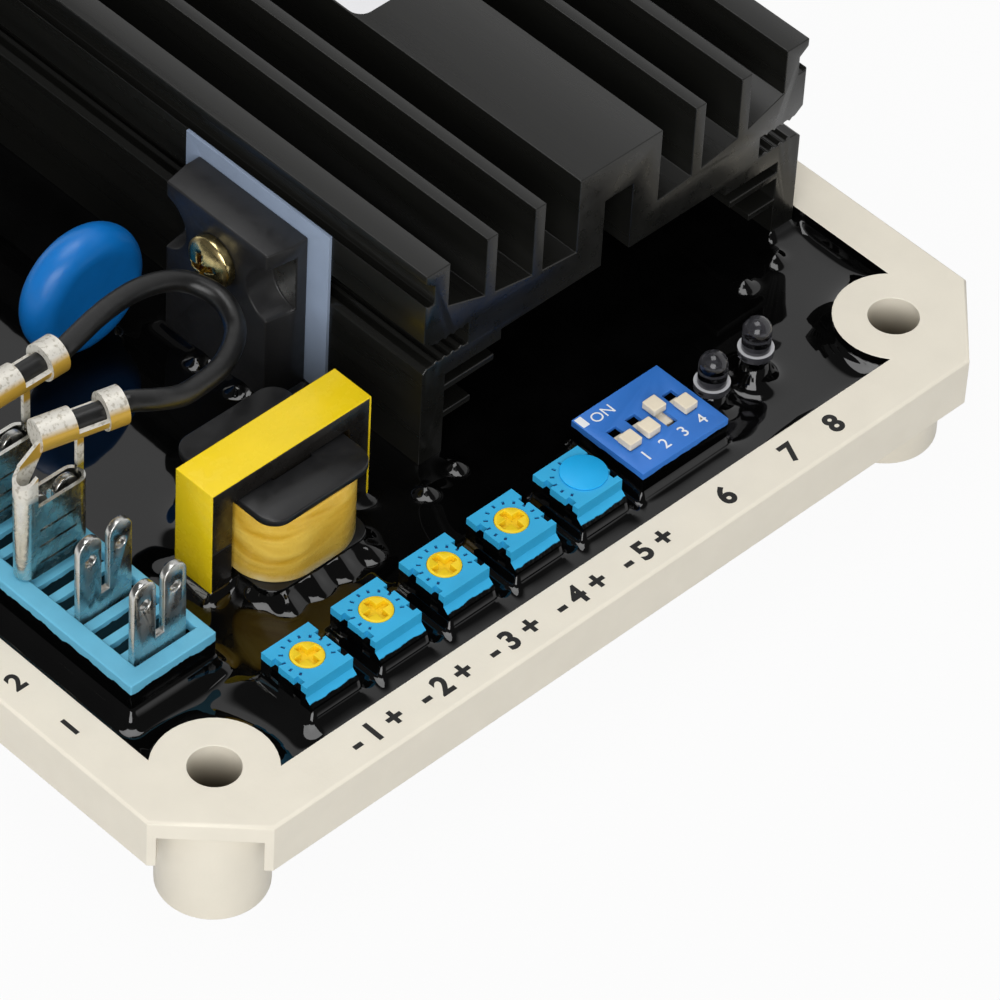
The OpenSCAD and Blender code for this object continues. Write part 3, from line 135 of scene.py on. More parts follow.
class Paint:
    """A node material: a principled shader and small helpers that add detail to it."""

    def __init__(self, name, color, rough, metallic=0.0, spec=0.5):
        self.mat = bpy.data.materials.new(name)
        self.mat.use_nodes = True
        self.tree = self.mat.node_tree
        self.bsdf = self.tree.nodes["Principled BSDF"]
        self.color = color
        self.rough = rough
        self.set("Base Color", color)
        self.set("Roughness", rough)
        self.set("Metallic", metallic)
        self.set("Specular IOR Level", spec)
        self.place = self.node("ShaderNodeTexCoord").outputs["Object"]
        self.facing = self.node("ShaderNodeNewGeometry").outputs["Normal"]

    def node(self, kind, **values):
        """A new shader node with its settings."""
        n = self.tree.nodes.new(kind)
        for k, v in values.items():
            setattr(n, k, v)
        return n

    def feed(self, value, socket):
        """Set a socket to a number or colour, or link it to another socket."""
        if isinstance(value, (int, float, tuple)):
            socket.default_value = value
        else:
            self.tree.links.new(value, socket)

    def set(self, socket, value):
        """A constant on a shader socket."""
        self.bsdf.inputs[socket].default_value = value
        return self

    def to(self, out, socket):
        """A number, colour or link on a shader socket."""
        self.feed(out, self.bsdf.inputs[socket])
        return self

    def now(self, socket):
        """What feeds a shader socket at present: a link or a constant."""
        s = self.bsdf.inputs[socket]
        if s.is_linked:
            return s.links[0].from_socket
        v = s.default_value
        return tuple(v) if hasattr(v, "__len__") else v

    def noise(self, scale, detail=2.0, stretch=(1, 1, 1), distortion=0.0):
        """Noise between 0 and 1, fixed to the unit's frame."""
        m = self.node("ShaderNodeMapping")
        m.inputs["Scale"].default_value = stretch
        self.feed(self.place, m.inputs["Vector"])
        n = self.node("ShaderNodeTexNoise")
        n.inputs["Scale"].default_value = scale
        n.inputs["Detail"].default_value = detail
        n.inputs["Distortion"].default_value = distortion
        self.feed(m.outputs["Vector"], n.inputs["Vector"])
        return n.outputs["Fac"]

    def remap(self, value, a, b, lo=0.0, hi=1.0):
        """A value's range from a to b, taken to the range from lo to hi."""
        n = self.node("ShaderNodeMapRange")
        for name, v in (("From Min", a), ("From Max", b), ("To Min", lo), ("To Max", hi), ("Value", value)):
            self.feed(v, n.inputs[name])
        return n.outputs["Result"]

    def mix(self, share, a, b):
        """Colour between two colours."""
        n = self.node("ShaderNodeMix", data_type="RGBA")
        for value, socket in ((share, n.inputs[0]), (a, n.inputs[6]), (b, n.inputs[7])):
            self.feed(value, socket)
        return n.outputs[2]

    def math(self, op, a, b=0.0):
        """One sum on two numbers or links."""
        n = self.node("ShaderNodeMath", operation=op)
        self.feed(a, n.inputs[0])
        self.feed(b, n.inputs[1])
        return n.outputs[0]

    def axis(self, name, of):
        """One component of a vector."""
        n = self.node("ShaderNodeSeparateXYZ")
        self.feed(of, n.inputs[0])
        return n.outputs[name]

    def where(self, axis, a, b):
        """Mask that goes from 0 to 1 between two places on an axis, in millimetres."""
        return self.remap(self.axis(axis, self.place), a * MM, b * MM)

    def leaning(self, axis, a, b):
        """Mask that goes from 0 to 1 between two components of the surface's direction."""
        return self.remap(self.axis(axis, self.facing), a, b)

    def from_middle(self, axis):
        """Distance from the middle plane of the unit."""
        return self.math("ABSOLUTE", self.axis(axis, self.place))

    def all_of(self, *masks):
        """Mask that is 1 where all the masks are."""
        out = masks[0]
        for m in masks[1:]:
            out = self.math("MULTIPLY", out, m)
        return out

    def shade(self, amount=0.08, scale=250.0, stretch=(1, 1, 1)):
        """Slow colour drift over the surface."""
        dark = tuple(c * (1 - amount) for c in self.color[:3]) + (1.0,)
        light = tuple(min(1.0, c * (1 + amount)) for c in self.color[:3]) + (1.0,)
        drift = self.remap(self.noise(scale, 3, stretch), 0.3, 0.7)
        return self.to(self.mix(drift, dark, light), "Base Color")

    def wear(self, amount=0.08, scale=900.0, stretch=(1, 1, 1)):
        """Uneven gloss."""
        low, high = max(0.0, self.rough - amount), self.rough + amount
        return self.to(self.remap(self.noise(scale, 4, stretch), 0.3, 0.7, low, high), "Roughness")

    def relief(self, height, depth):
        """Bump from a height between 0 and 1; depth in millimetres."""
        b = self.node("ShaderNodeBump")
        b.inputs["Distance"].default_value = depth * MM
        self.feed(height, b.inputs["Height"])
        return self.to(b.outputs["Normal"], "Normal")

    def grain(self, depth=0.01, scale=4000.0, stretch=(1, 1, 1), detail=2.0):
        """Fine relief; depth in millimetres."""
        return self.relief(self.noise(scale, detail, stretch), depth)

    def over(self, mask, color, rough):
        """Another colour and gloss where the mask is 1."""
        self.to(self.mix(mask, self.now("Base Color"), color), "Base Color")
        kept = self.math("MULTIPLY", self.now("Roughness"), self.math("SUBTRACT", 1.0, mask))
        return self.to(self.math("ADD", kept, self.math("MULTIPLY", mask, rough)), "Roughness")

    def soak(self, level, front=None, front_y=0.0, ragged=0.15):
        """Resin film that has crept up the sides to a height, and to another on the faces before front_y."""
        low, high = (level - ragged) * MM, (level + ragged) * MM
        edge = self.remap(self.noise(700, 3), 0.3, 0.7, low, high)
        if front is not None:
            near = self.all_of(self.leaning("Y", -0.4, -0.6), self.where("Y", front_y, front_y - 0.1))
            edge = self.math("ADD", edge, self.math("MULTIPLY", near, (front - level) * MM))
        under = self.math("SUBTRACT", edge, self.axis("Z", self.place))
        wet = self.remap(under, -0.03 * MM, 0.03 * MM)
        side = self.leaning("Z", 0.9, 0.85)
        return self.over(self.all_of(wet, side), RESIN, 0.08)

    def floor_mark(self, low, high, color):
        """Painted shade: another colour on level faces between two heights, such as the floors of shallow
        recessed marks.
        """
        fade = 0.02
        above = self.where("Z", low - fade, low)
        below = self.where("Z", high + fade, high)
        level = self.leaning("Z", 0.6, 0.8)
        return self.over(self.all_of(above, below, level), color, 0.5)


def plain(name, color, rough, spec=0.5, drift=0.07, relief=0.006, scale=4000.0):
    """Moulded or printed surface with a slow drift of colour, uneven gloss and a fine grain."""
    wear = min(0.08, rough * 0.4)
    return Paint(name, color, rough, spec=spec).shade(drift).wear(wear).grain(relief, scale)


def case_paint():
    """Cream moulding with painted shade that darkens down the mounting holes, and a resin film on the walls
    of its cavity.
    """
    p = plain("cream_case", lin(236, 229, 213), 0.42, spec=0.4, drift=0.02, relief=0.010, scale=2600)
    off_x = p.math("SUBTRACT", p.from_middle("X"), HOLE_X * MM)
    off_y = p.math("SUBTRACT", p.from_middle("Y"), HOLE_Y * MM)
    r = p.math("SQRT", p.math("ADD", p.math("POWER", off_x, 2.0), p.math("POWER", off_y, 2.0)))
    # Painted shade: the bores of the mounting holes turn dark brown with depth below the rim.
    bore_shade = p.remap(r, (HOLE_R + 0.15) * MM, (HOLE_R + 0.05) * MM)
    depth = p.where("Z", RIM_Z - 0.3, RIM_Z - 5.5)
    p.over(p.all_of(bore_shade, depth), lin(96, 84, 62), 0.5)
    film = [
        p.remap(r, (HOLE_R + 0.5) * MM, (HOLE_R + 0.6) * MM),
        p.leaning("Z", 0.5, 0.4),
        p.where("Z", BOARD_Z, BOARD_Z + 0.1),
        p.remap(p.math("ADD", off_x, off_y), 3 * MM, 2 * MM)]
    for axis, wall in (("X", CAV_X), ("Y", CAV_Y)):
        film.append(p.remap(p.from_middle(axis), (wall + 0.1) * MM, (wall + 0.05) * MM))
    return p.over(p.all_of(*film), RESIN, 0.15)


def anodised_paint():
    """Black anodised extrusion with fine lines along its length."""
    p = Paint("black_anodised", lin(20, 20, 18), 0.30, spec=0.45)
    p.shade(0.25, 220, (1, 0.05, 1)).wear(0.06, 700, (1, 0.03, 1))
    return p.grain(0.006, 3200, (1, 0.02, 1), 3)


def trimmer_paint():
    """Blue moulding, resin on its sides and painted shade on the floors of its recessed scale marks."""
    p = plain("trimmer_blue", lin(52, 172, 222), 0.45, spec=0.35, drift=0.06, relief=0.012, scale=2600)
    # Painted shade: dark blue on the floors of the recessed scale marks.
    p.floor_mark(TRIM_TOP - 0.3, TRIM_TOP - 0.08, lin(10, 60, 110))
    return p.soak(TRIM_TOP - 0.85, front=TRIM_TOP - 1.9, front_y=TRIM_FRONT + 1.1, ragged=0.08)


def winding_paint():
    """Amber tape with slanted creases, pale along its lower edge."""
    p = Paint("amber_tape", lin(216, 172, 50), 0.28)
    crease = p.noise(230, 3, (0.55, 0.55, 1.7), 0.8)
    p.to(p.mix(p.remap(crease, 0.32, 0.70), lin(214, 166, 44), lin(246, 208, 92)), "Base Color")
    p.wear(0.07, 900)
    hem = p.where("Z", WINDING_Z + 1.3, WINDING_Z + 0.4)
    patchy = p.remap(p.noise(500, 3), 0.4, 0.6, 0.25, 0.8)
    p.over(p.all_of(hem, patchy), lin(244, 228, 176), 0.35)
    return p.relief(crease, 0.14)


def receptacle_paint():
    """Tinned brass sheet: bright on the clip, dull white on the crimps, brass under the barrel."""
    p = Paint("receptacle_tin", lin(214, 213, 206), 0.24, metallic=1.0)
    p.shade(0.1, 500).wear(0.08, 900)
    crimp = p.where("Z", BLADE_TOP + 0.4, BLADE_TOP + 1.4)
    p.over(crimp, lin(226, 222, 212), 0.5)
    spots = p.remap(p.noise(2400, 3), 0.52, 0.66, 0.0, 0.6)
    p.over(p.all_of(crimp, spots), lin(150, 140, 118), 0.4)
    barrel = p.where("Z", BLADE_TOP + 2.9, BLADE_TOP + 3.3)
    toward, low = p.leaning("Y", -0.1, -0.4), p.leaning("Z", 0.7, 0.4)
    p.over(p.all_of(barrel, toward, low), lin(200, 160, 62), 0.35)
    p.to(p.remap(crimp, 0.0, 1.0, 1.0, 0.35), "Metallic")
    return p.grain(0.04, 1400, detail=4.0)


def resin_paint():
    """Black potting resin, almost a mirror, with a slow swell."""
    p = Paint("potting_black", RESIN, 0.03, spec=0.55)
    p.shade(0.4, 200)
    return p.relief(p.noise(150, 2), 0.02)


def lens_paint(node):
    """Smoky epoxy, with a painted highlight: the top of the flange is pale and nearly opaque."""
    p = Paint(node + "_epoxy", (0.09, 0.09, 0.10, 1), 0.03)
    p.set("IOR", 1.5)
    foot = box(node)[0][2]
    # Painted highlight: a pale, nearly opaque band on the flange's top stands in for a reflection.
    flange_highlight = p.all_of(p.where("Z", foot + 1.25, foot + 1.1), p.leaning("Z", 0.6, 0.9))
    p.over(flange_highlight, (0.6, 0.6, 0.62, 1), 0.2)
    p.to(p.remap(flange_highlight, 0.0, 1.0, 1.0, 0.1), "Transmission Weight")
    return p.grain(0.004, 900)


def screw_paint():
    """Yellow-passivated steel, dark red-brown in the recess."""
    p = Paint("brass_screw", lin(214, 196, 140), 0.24, metallic=1.0)
    p.shade(0.12, 600).wear(0.08, 900)
    face = box("device_screw")[0][0]
    recess = p.all_of(p.where("X", face + 0.75, face + 1.05), p.leaning("X", -0.6, -0.9))
    p.over(recess, lin(96, 44, 20), 0.6)
    return p.grain(0.01, 1500)


def tinned_paint():
    """Tinned blades, leads and pins."""
    p = Paint("tinned", lin(196, 196, 193), 0.28, metallic=1.0)
    return p.shade(0.12, 500).wear(0.08, 700).grain(0.006, 900)


def bobbin_paint():
    """Black moulding, wet with resin up to the winding."""
    p = plain("bobbin_black", lin(26, 26, 27), 0.36, spec=0.45, drift=0.15, relief=0.012, scale=1200)
    return p.soak(WINDING_Z + 0.1)


def switch_paint():
    """Blue cover of the switch, resin on its lower sides."""
    p = plain("dip_blue", lin(52, 118, 204), 0.45, spec=0.35, drift=0.04, relief=0.010, scale=2600)
    return p.soak(DIP_TOP - 0.75, ragged=0.08)


def block_paint():
    """Pale blue moulding, resin on its lower sides."""
    p = plain("block_blue", lin(104, 184, 216), 0.42, spec=0.4, drift=0.06, relief=0.012, scale=2200)
    return p.soak(BLOCK_TOP - 1.1, ragged=0.2)


cream = case_paint()
anodised = anodised_paint()
pad_grey = plain("pad_sheet", lin(146, 161, 184), 0.55, spec=0.4, drift=0.05, relief=0.008)
mould = plain("black_mould", lin(36, 36, 37), 0.40, spec=0.45, drift=0.15, relief=0.012, scale=2600)
bobbin_black = bobbin_paint()
ferrite = plain("ferrite", lin(24, 22, 20), 0.30, spec=0.5, drift=0.2, relief=0.015, scale=1500)
tinned = tinned_paint()
brass = screw_paint()
tape = plain("yellow_tape", lin(248, 215, 28), 0.26, spec=0.45, drift=0.03, relief=0.012, scale=700)
amber = winding_paint()
blue = trimmer_paint()
seal_blue = plain("seal_blue", lin(28, 174, 238), 0.45, spec=0.35, drift=0.03, relief=0.008)
rotor = plain("rotor_yellow", lin(244, 208, 30), 0.42, spec=0.35, drift=0.07, relief=0.01)
dip = switch_paint()
knob = plain("slider_cream", lin(236, 224, 200), 0.5, spec=0.35, drift=0.05)
block = block_paint()
deep_blue = plain("varistor_blue", lin(10, 118, 202), 0.36, spec=0.5, drift=0.06, relief=0.02, scale=700)
rubber = plain("black_wire", lin(20, 20, 20), 0.36, spec=0.45, drift=0.15, relief=0.012, scale=2200)
white = plain("print_white", lin(238, 240, 242), 0.5, spec=0.3)
ink = plain("print_black", lin(30, 29, 28), 0.5, spec=0.3, drift=0.2)
label = plain("label_white", lin(238, 238, 240), 0.4, spec=0.35, drift=0.02)
laminate = plain("laminate", lin(24, 78, 44), 0.4)
tin = receptacle_paint()
potting = resin_paint()


def dress(node, paint, bevel=0.0, segments=2, join=True):
    """Material and, where asked, small rounded edges: flat faces are joined before them, or evened after."""
    o = NODES[node]
    o.data.materials.clear()
    o.data.materials.append(paint.mat)
    if not bevel:
        return
    o.data.shade_smooth()
    weld = o.modifiers.new("weld", "WELD")
    weld.merge_threshold = 2e-6
    if join:
        flat = o.modifiers.new("flat", "DECIMATE")
        flat.decimate_type = "DISSOLVE"
        flat.angle_limit = math.radians(1.0)
    edges = o.modifiers.new("edges", "BEVEL")
    edges.width = bevel * MM
    edges.segments = segments
    edges.limit_method = "ANGLE"
    edges.angle_limit = math.radians(35.0)
    edges.harden_normals = True
    edges.use_clamp_overlap = False
    if not join:
        o.modifiers.new("even", "WEIGHTED_NORMAL")


def dress_all():
    """Every solid gets its material, and the sharp-edged ones a small round."""
    dress("case_tray", cream, 0.1, join=False)
    dress("circuit_board", laminate)
    dress("potting_compound", potting)
    dress("heatsink", anodised, 0.12)
    dress("insulator_pad", pad_grey, 0.05)
    dress("power_device", mould, 0.2)
    dress("device_screw", brass, 0.12)
    dress("core_lower", ferrite, 0.15)
    dress("core_upper", ferrite, 0.15)
    dress("core_tape", tape, 0.1)
    dress("bobbin", bobbin_black, 0.15)
    dress("winding", amber, 0.3)
    for node in ("device_leads", "transformer_pins", "trimmer_pins", "dip_pins", "led_1_leads", "led_2_leads",
                 "varistor_leads"):
        dress(node, tinned)
    for node in TRIMMERS:
        dress(node, blue)
    for node in ROTORS:
        dress(node, rotor, 0.08)
    for node in SLIDERS:
        dress(node, knob, 0.14, 3, join=False)
    dress("trimmer_seal_5", seal_blue, 0.06)
    dress("dip_base", mould, 0.1)
    dress("dip_cover", dip, 0.06)
    for node in LENSES:
        dress(node, lens_paint(node))
    dress("terminal_block", block, 0.18, 3, join=False)
    dress("terminal_blades", tinned, 0.12)
    for node in ("receptacle_1", "receptacle_2"):
        dress(node, tin)
    dress("link_wire", rubber)
    dress("varistor", deep_blue)


dress_all()


def add_piece(name, mesh):
    """A mesh as a piece on the unit's body."""
    o = bpy.data.objects.new(name, mesh)
    SCENE.collection.objects.link(o)
    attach(o, UNIT)
    return o


def piece(name, verts, faces, paint, smooth=True):
    """A mesh piece from points in millimetres."""
    me = bpy.data.meshes.new(name)
    me.from_pydata([tuple(c * MM for c in v) for v in verts], [], faces)
    me.materials.append(paint.mat)
    if smooth:
        me.shade_smooth()
    me.update()
    return add_piece(name, me)


def outside(low, high, x, y):
    """Distance from points to an upright rectangle, negative inside."""
    dx = np.abs(x - (low[0] + high[0]) / 2) - (high[0] - low[0]) / 2
    dy = np.abs(y - (low[1] + high[1]) / 2) - (high[1] - low[1]) / 2
    return np.hypot(np.maximum(dx, 0), np.maximum(dy, 0)) + np.minimum(np.maximum(dx, dy), 0)


def potting_feet(x, y):
    """What stands in the resin: distance from its footprint, height and reach of the climb on it."""
    feet = []

    def climb(distance, height, reach):
        feet.append((distance, height, reach))

    climb(outside(*box("terminal_block"), x, y), height=1.9, reach=0.8)
    for node in TRIMMERS + ["dip_cover"]:
        away = outside(*box(node), x, y)
        climb(away, height=1.9, reach=0.35)
        climb(away, height=1.0, reach=2.5)
    stem = 1.5
    for node in ("led_1_leads", "led_2_leads"):
        cx, cy, _ = middle(node)
        climb(np.hypot(x - cx, y - cy) - stem, height=2.4, reach=0.6)
    for left, height in ((SINK_LOW[0], 0.3), (SINK_HIGH[0] - LEG_T, 1.2)):
        leg = ((left, SINK_LOW[1]), (left + LEG_T, SINK_HIGH[1]))
        climb(outside(*leg, x, y), height, reach=1.0)
    for node in ("power_device", "insulator_pad"):
        climb(outside(*box(node), x, y), height=0.6, reach=0.8)
    climb(outside(*box("core_tape"), x, y), height=1.0, reach=0.7)
    low, high = box("winding")
    round_off = 3.5
    inner = [c + round_off for c in low], [c - round_off for c in high]
    climb(outside(*inner, x, y) - round_off, height=1.4, reach=1.0)
    low, high = box("varistor_leads")
    wire = 0.5
    for lead_x in (low[0], high[0]):
        climb(np.hypot(x - lead_x, y - middle("varistor_leads")[1]) - wire, height=0.8, reach=0.6)
    return feet


def potting_bumps():
    """Soft humps over drowned pins and components: place, radius and height."""
    tx, ty, _ = middle("core_tape")
    pin_pitch, pin_row = 3.6, 8.2
    humps = [(tx + (k - 1.5) * pin_pitch, ty - pin_row, 1.1, 0.7) for k in range(4)]
    left, right, front = SINK_LOW[0], SINK_HIGH[0], SINK_LOW[1]
    humps += [(left - 1.8, front - 2.9, 1.0, 0.8), (left + 2.7, front - 2.3, 1.0, 0.8)]
    humps += [(right - 9.8, front - 2.8, 1.0, 0.8), (right - 4.8, front - 2.3, 1.0, 0.8)]
    face, device_y = box("power_device")[0][0], middle("power_device")[1]
    humps += [(face - 0.9, device_y - 4.25, 0.9, 0.7), (face - 1.1, device_y + 1.45, 0.9, 0.6)]
    return humps


def potting_height(x, y, climbs):
    """Height of the resin: level, climbs that blend where they meet, humps and a slow swell."""
    lift, blend = 0.02, 3.0
    climb = sum((h * np.exp(-np.maximum(d, 0) / reach)) ** blend for d, h, reach in climbs) ** (1 / blend)
    z = POT_Z + lift + climb
    for bx, by, r, h in potting_bumps():
        z += h * np.exp(-((x - bx) ** 2 + (y - by) ** 2) / (r * r))
    swells, side, front, rear = 60, 48, -68, 60
    rng = np.random.default_rng(4)
    for _ in range(swells):
        cx, cy, r = rng.uniform(-side, side), rng.uniform(front, rear), rng.uniform(3, 9)
        z += rng.uniform(-0.03, 0.05) * np.exp(-((x - cx) ** 2 + (y - cy) ** 2) / (r * r))
    return z


def potting_skin():
    """Poured resin surface: a grid, finer in the seen half, left out where things stand in it."""
    hidden, boss_hidden, split = 0.5, 0.9, -8.0
    columns, fine_rows, rows = 330, 210, 80
    xs = np.linspace(-CAV_X - hidden, CAV_X + hidden, columns)
    seen = np.linspace(-CAV_Y - hidden, split, fine_rows, endpoint=False)
    ys = np.concatenate([seen, np.linspace(split, CAV_Y + hidden, rows)])
    x, y = np.meshgrid(xs, ys, indexing="ij")
    feet = potting_feet(x, y)
    wall = np.minimum(CAV_X - np.abs(x), CAV_Y - np.abs(y))
    boss = np.hypot(np.abs(x) - HOLE_X, np.abs(y) - HOLE_Y) - BOSS_R
    case_climbs = [(boss, 0.9, 1.2), (wall, 0.8, 0.6)]
    z = potting_height(x, y, feet + case_climbs)
    covered = np.min([d for d, _, _ in feet], 0) < -hidden
    keep = ~(covered | (boss < -boss_hidden))
    index = np.full(x.shape, -1)
    index[keep] = np.arange(keep.sum())
    verts = np.stack([x[keep], y[keep], z[keep]], 1)
    corners = [index[:-1, :-1], index[1:, :-1], index[1:, 1:], index[:-1, 1:]]
    quads = np.stack(corners, -1).reshape(-1, 4)
    quads = quads[(quads >= 0).all(1)]
    piece("potting_surface", verts.tolist(), quads.tolist(), potting)


potting_skin()


def smooth_line(points, steps=8):
    """Points on a smooth curve through a list of points."""
    p = np.asarray(points, float)
    p = np.vstack([2 * p[0] - p[1], p, 2 * p[-1] - p[-2]])
    line = []
    for a, b, c, d in zip(p, p[1:], p[2:], p[3:]):
        bend, twist = 2 * a - 5 * b + 4 * c - d, 3 * b - a - 3 * c + d
        for t in np.arange(steps) / steps:
            line.append(b + t * ((c - a) + t * (bend + t * twist)) / 2)
    line.append(p[-2])
    return np.array(line)


def tube(name, points, radius, paint, sides=20):
    """Round tube along a smooth curve through points in millimetres."""
    line = smooth_line(points)
    along = np.gradient(line, axis=0)
    along /= np.linalg.norm(along, axis=1)[:, None]
    across = np.cross(along[0], [0, 0, 1.0])
    verts, faces = [], []
    for i, (c, t) in enumerate(zip(line, along)):
        across = across - t * (across @ t)
        across /= np.linalg.norm(across)
        other = np.cross(t, across)
        for k in range(sides):
            a = 2 * math.pi * k / sides
            verts.append(c + radius * (math.cos(a) * across + math.sin(a) * other))
            if i:
                here, before, step = i * sides, (i - 1) * sides, (k + 1) % sides
                faces.append((before + k, before + step, here + step, here + k))
    last = (len(line) - 1) * sides
    faces.append(tuple(reversed(range(sides))))
    faces.append(tuple(last + k for k in range(sides)))
    return piece(name, verts, faces, paint)


def crimp_axis(start, turn, distances):
    """Points on a crimp's level axis, at distances from its start."""
    a = math.radians(turn)
    return [(start[0] + t * math.cos(a), start[1] + t * math.sin(a), start[2]) for t in distances]


def link_wire():
    """Insulated wire from one crimp to the other, along the solid's own route."""
    radius, crimp_end, wire_in = 1.1, 4.1, 3.1
    held = (-wire_in, 0, crimp_end, crimp_end + 1)
    first = crimp_axis((-36.4, -36.76, BOARD_Z + 21.8), turn=-14, distances=held)
    last = crimp_axis((-37.0, -29.14, BOARD_Z + 22.6), turn=0, distances=held)
    start = first[2][0]
    width = box("power_device")[0][0] - start
    # Share of the way to the power device, distance from the front and height over the board
    shares = [
        (0.15, 36.2, 20.9), (0.27, 36.1, 19.6), (0.39, 36.6, 18.8), (0.52, 37.4, 18.2), (0.64, 38.8, 17.8),
        (0.74, 40.7, 17.7), (0.79, 43, 18.1), (0.79, 45.1, 18.7), (0.73, 47.3, 19.5), (0.64, 48.2, 20.3),
        (0.51, 48.5, 21), (0.37, 48.1, 21.6), (0.22, 47.2, 22.2)]
    loop = [(start + u * width, FRONT + d, BOARD_Z + h) for u, d, h in shares]
    route = first + loop + last[::-1]
    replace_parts(tube("link_insulation", route, radius, rubber), "link_wire")


link_wire()


def rounded(low, high, z, radius, paint, name, slot, steps=6):
    """Flat rounded rectangle between two corners at a height, in millimetres."""
    verts = []
    for k, (x, y) in enumerate(((high[0], high[1]), (low[0], high[1]), (low[0], low[1]), (high[0], low[1]))):
        cx = x - math.copysign(radius, x - (low[0] + high[0]) / 2)
        cy = y - math.copysign(radius, y - (low[1] + high[1]) / 2)
        for i in range(steps + 1):
            a = math.pi / 2 * (k + i / steps)
            verts.append((cx + radius * math.cos(a), cy + radius * math.sin(a), z))
    return piece(name, verts, [tuple(range(len(verts)))], paint, smooth=False)


def blank_label():
    """Bare white label on the heatsink's middle block."""
    half, front, rear, corner, lift = 5.4, -17.0, 8.0, 1.5, 0.005
    x = (SINK_LOW[0] + SINK_HIGH[0]) / 2
    z = SINK_HIGH[2] + lift
    rounded((x - half, front), (x + half, rear), z, corner, label, "blank_label", "cream_case")


def device_tab():
    """Metal of the power device, bare at the bottom of its side notches."""
    low, high = box("power_device")
    depth, inset, radius, steps = 3.44, 0.1, 3.3, 16
    x = low[0] + depth
    cz = middle("device_screw")[2]
    for name, y, side in (("device_tab_front", low[1], 1), ("device_tab_rear", high[1], -1)):
        verts = [(x, y + inset * side, cz)]
        for i in range(steps + 1):
            a = math.pi * (i / steps - 0.5)
            verts.append((x, y + side * (inset + radius * math.cos(a)), cz + radius * math.sin(a)))
        faces = [(0, i + 2, i + 1) if side > 0 else (0, i + 1, i + 2) for i in range(steps)]
        piece(name, verts, faces, tinned, smooth=False)


blank_label()
device_tab()

PRINT_LIFT = 0.012


def words(name, text, size, at, paint, bold=0.0):
    """Flat printed characters centred on a point in millimetres."""
    half_thickness = 0.004
    curve = bpy.data.curves.new(name, "FONT")
    curve.body = text
    curve.size = size * MM
    curve.align_x = "CENTER"
    curve.align_y = "CENTER"
    curve.offset = bold * MM
    curve.resolution_u = 4
    curve.extrude = half_thickness * MM
    text_object = bpy.data.objects.new(name + "_text", curve)
    SCENE.collection.objects.link(text_object)
    bpy.context.view_layer.update()
    me = bpy.data.meshes.new_from_object(text_object.evaluated_get(bpy.context.evaluated_depsgraph_get()))
    bpy.data.objects.remove(text_object)
    me.name = name
    me.materials.clear()
    me.materials.append(paint.mat)
    me.transform(Matrix.Translation(Vector((at[0], at[1], at[2] + PRINT_LIFT)) * MM))
    add_piece(name, me)


def rim_prints():
    """Generic numbers on the rim: one for each control and one for each terminal."""
    control_size, terminal_size = 3.3, 3.0
    y = FRONT + RIM_W / 2
    for k, node in enumerate(TRIMMERS + ["dip_cover"] + LENSES, 1):
        text = f"- {k} +" if node in TRIMMERS else str(k)
        at = (middle(node)[0], y, RIM_Z)
        words(f"rim_mark_{k}", text, control_size, at, ink, bold=0.12)
    low, high = box("terminal_blades")
    first, last = low[1], high[1]
    x = -CASE_HIGH[0] + RIM_W / 2
    for k in range(TERMINALS):
        at = (x, first + (last - first) * k / (TERMINALS - 1), RIM_Z)
        words(f"terminal_mark_{k + 1}", str(k + 1), terminal_size, at, ink, bold=0.10)


def switch_prints():
    """Digits, ON and a corner mark on the switch."""
    digit_size, word_size, corner = 1.9, 1.8, 0.1
    low, high = box("dip_cover")
    digit_y = low[1] + 1.6
    for k, node in enumerate(SLIDERS, 1):
        at = (middle(node)[0], digit_y, DIP_TOP)
        words(f"switch_digit_{k}", str(k), digit_size, at, white, bold=0.01)
    on_at = (low[0] + 2.9, high[1] - 1.4, DIP_TOP)
    words("switch_on", "ON", word_size, on_at, white)
    mark = (low[0] + 0.15, high[1] - 1.6), (low[0] + 1.0, high[1] - 0.2)
    rounded(*mark, DIP_TOP + PRINT_LIFT, corner, white, "switch_corner", "dip_blue")


rim_prints()
switch_prints()


def larger(tree, a, b):
    """The larger of two values."""
    n = tree.nodes.new("ShaderNodeMath")
    n.operation = "MAXIMUM"
    tree.links.new(a, n.inputs[0])
    tree.links.new(b, n.inputs[1])
    return n.outputs[0]


def ramp(tree, value, low, high, bottom, top):
    """Smooth step of a value between two levels."""
    n = tree.nodes.new("ShaderNodeMapRange")
    n.interpolation_type = "SMOOTHSTEP"
    for name, v in (("From Min", low), ("From Max", high), ("To Min", bottom), ("To Max", top)):
        n.inputs[name].default_value = v
    tree.links.new(value, n.inputs["Value"])
    return n.outputs["Result"]


def seen_share(tree):
    """1 for camera, glossy and transmission rays, 0 for the light that falls on the object."""
    path = tree.nodes.new("ShaderNodeLightPath")
    out = path.outputs["Is Camera Ray"]
    for name in ("Is Glossy Ray", "Is Transmission Ray"):
        out = larger(tree, out, path.outputs[name])
    return out


def floor():
    """Pale floor that takes a faint shadow and is seen as white."""
    half, grey, white_share = 6.0, 0.5, 0.95
    me = bpy.data.meshes.new("floor")
    corners = [(-half, -half, 0), (half, -half, 0), (half, half, 0), (-half, half, 0)]
    me.from_pydata(corners, [], [(0, 1, 2, 3)])
    o = bpy.data.objects.new("floor", me)
    SCENE.collection.objects.link(o)
    m = bpy.data.materials.new("floor")
    m.use_nodes = True
    tree = m.node_tree
    bsdf = tree.nodes["Principled BSDF"]
    bsdf.inputs["Base Color"].default_value = (grey, grey, grey, 1)
    bsdf.inputs["Roughness"].default_value = 0.8
    glow = tree.nodes.new("ShaderNodeEmission")
    mix = tree.nodes.new("ShaderNodeMixShader")
    tree.links.new(ramp(tree, seen_share(tree), 0.0, 1.0, 0.0, white_share), mix.inputs[0])
    tree.links.new(bsdf.outputs[0], mix.inputs[1])
    tree.links.new(glow.outputs[0], mix.inputs[2])
    tree.links.new(mix.outputs[0], tree.nodes["Material Output"].inputs[0])
    me.materials.append(m)


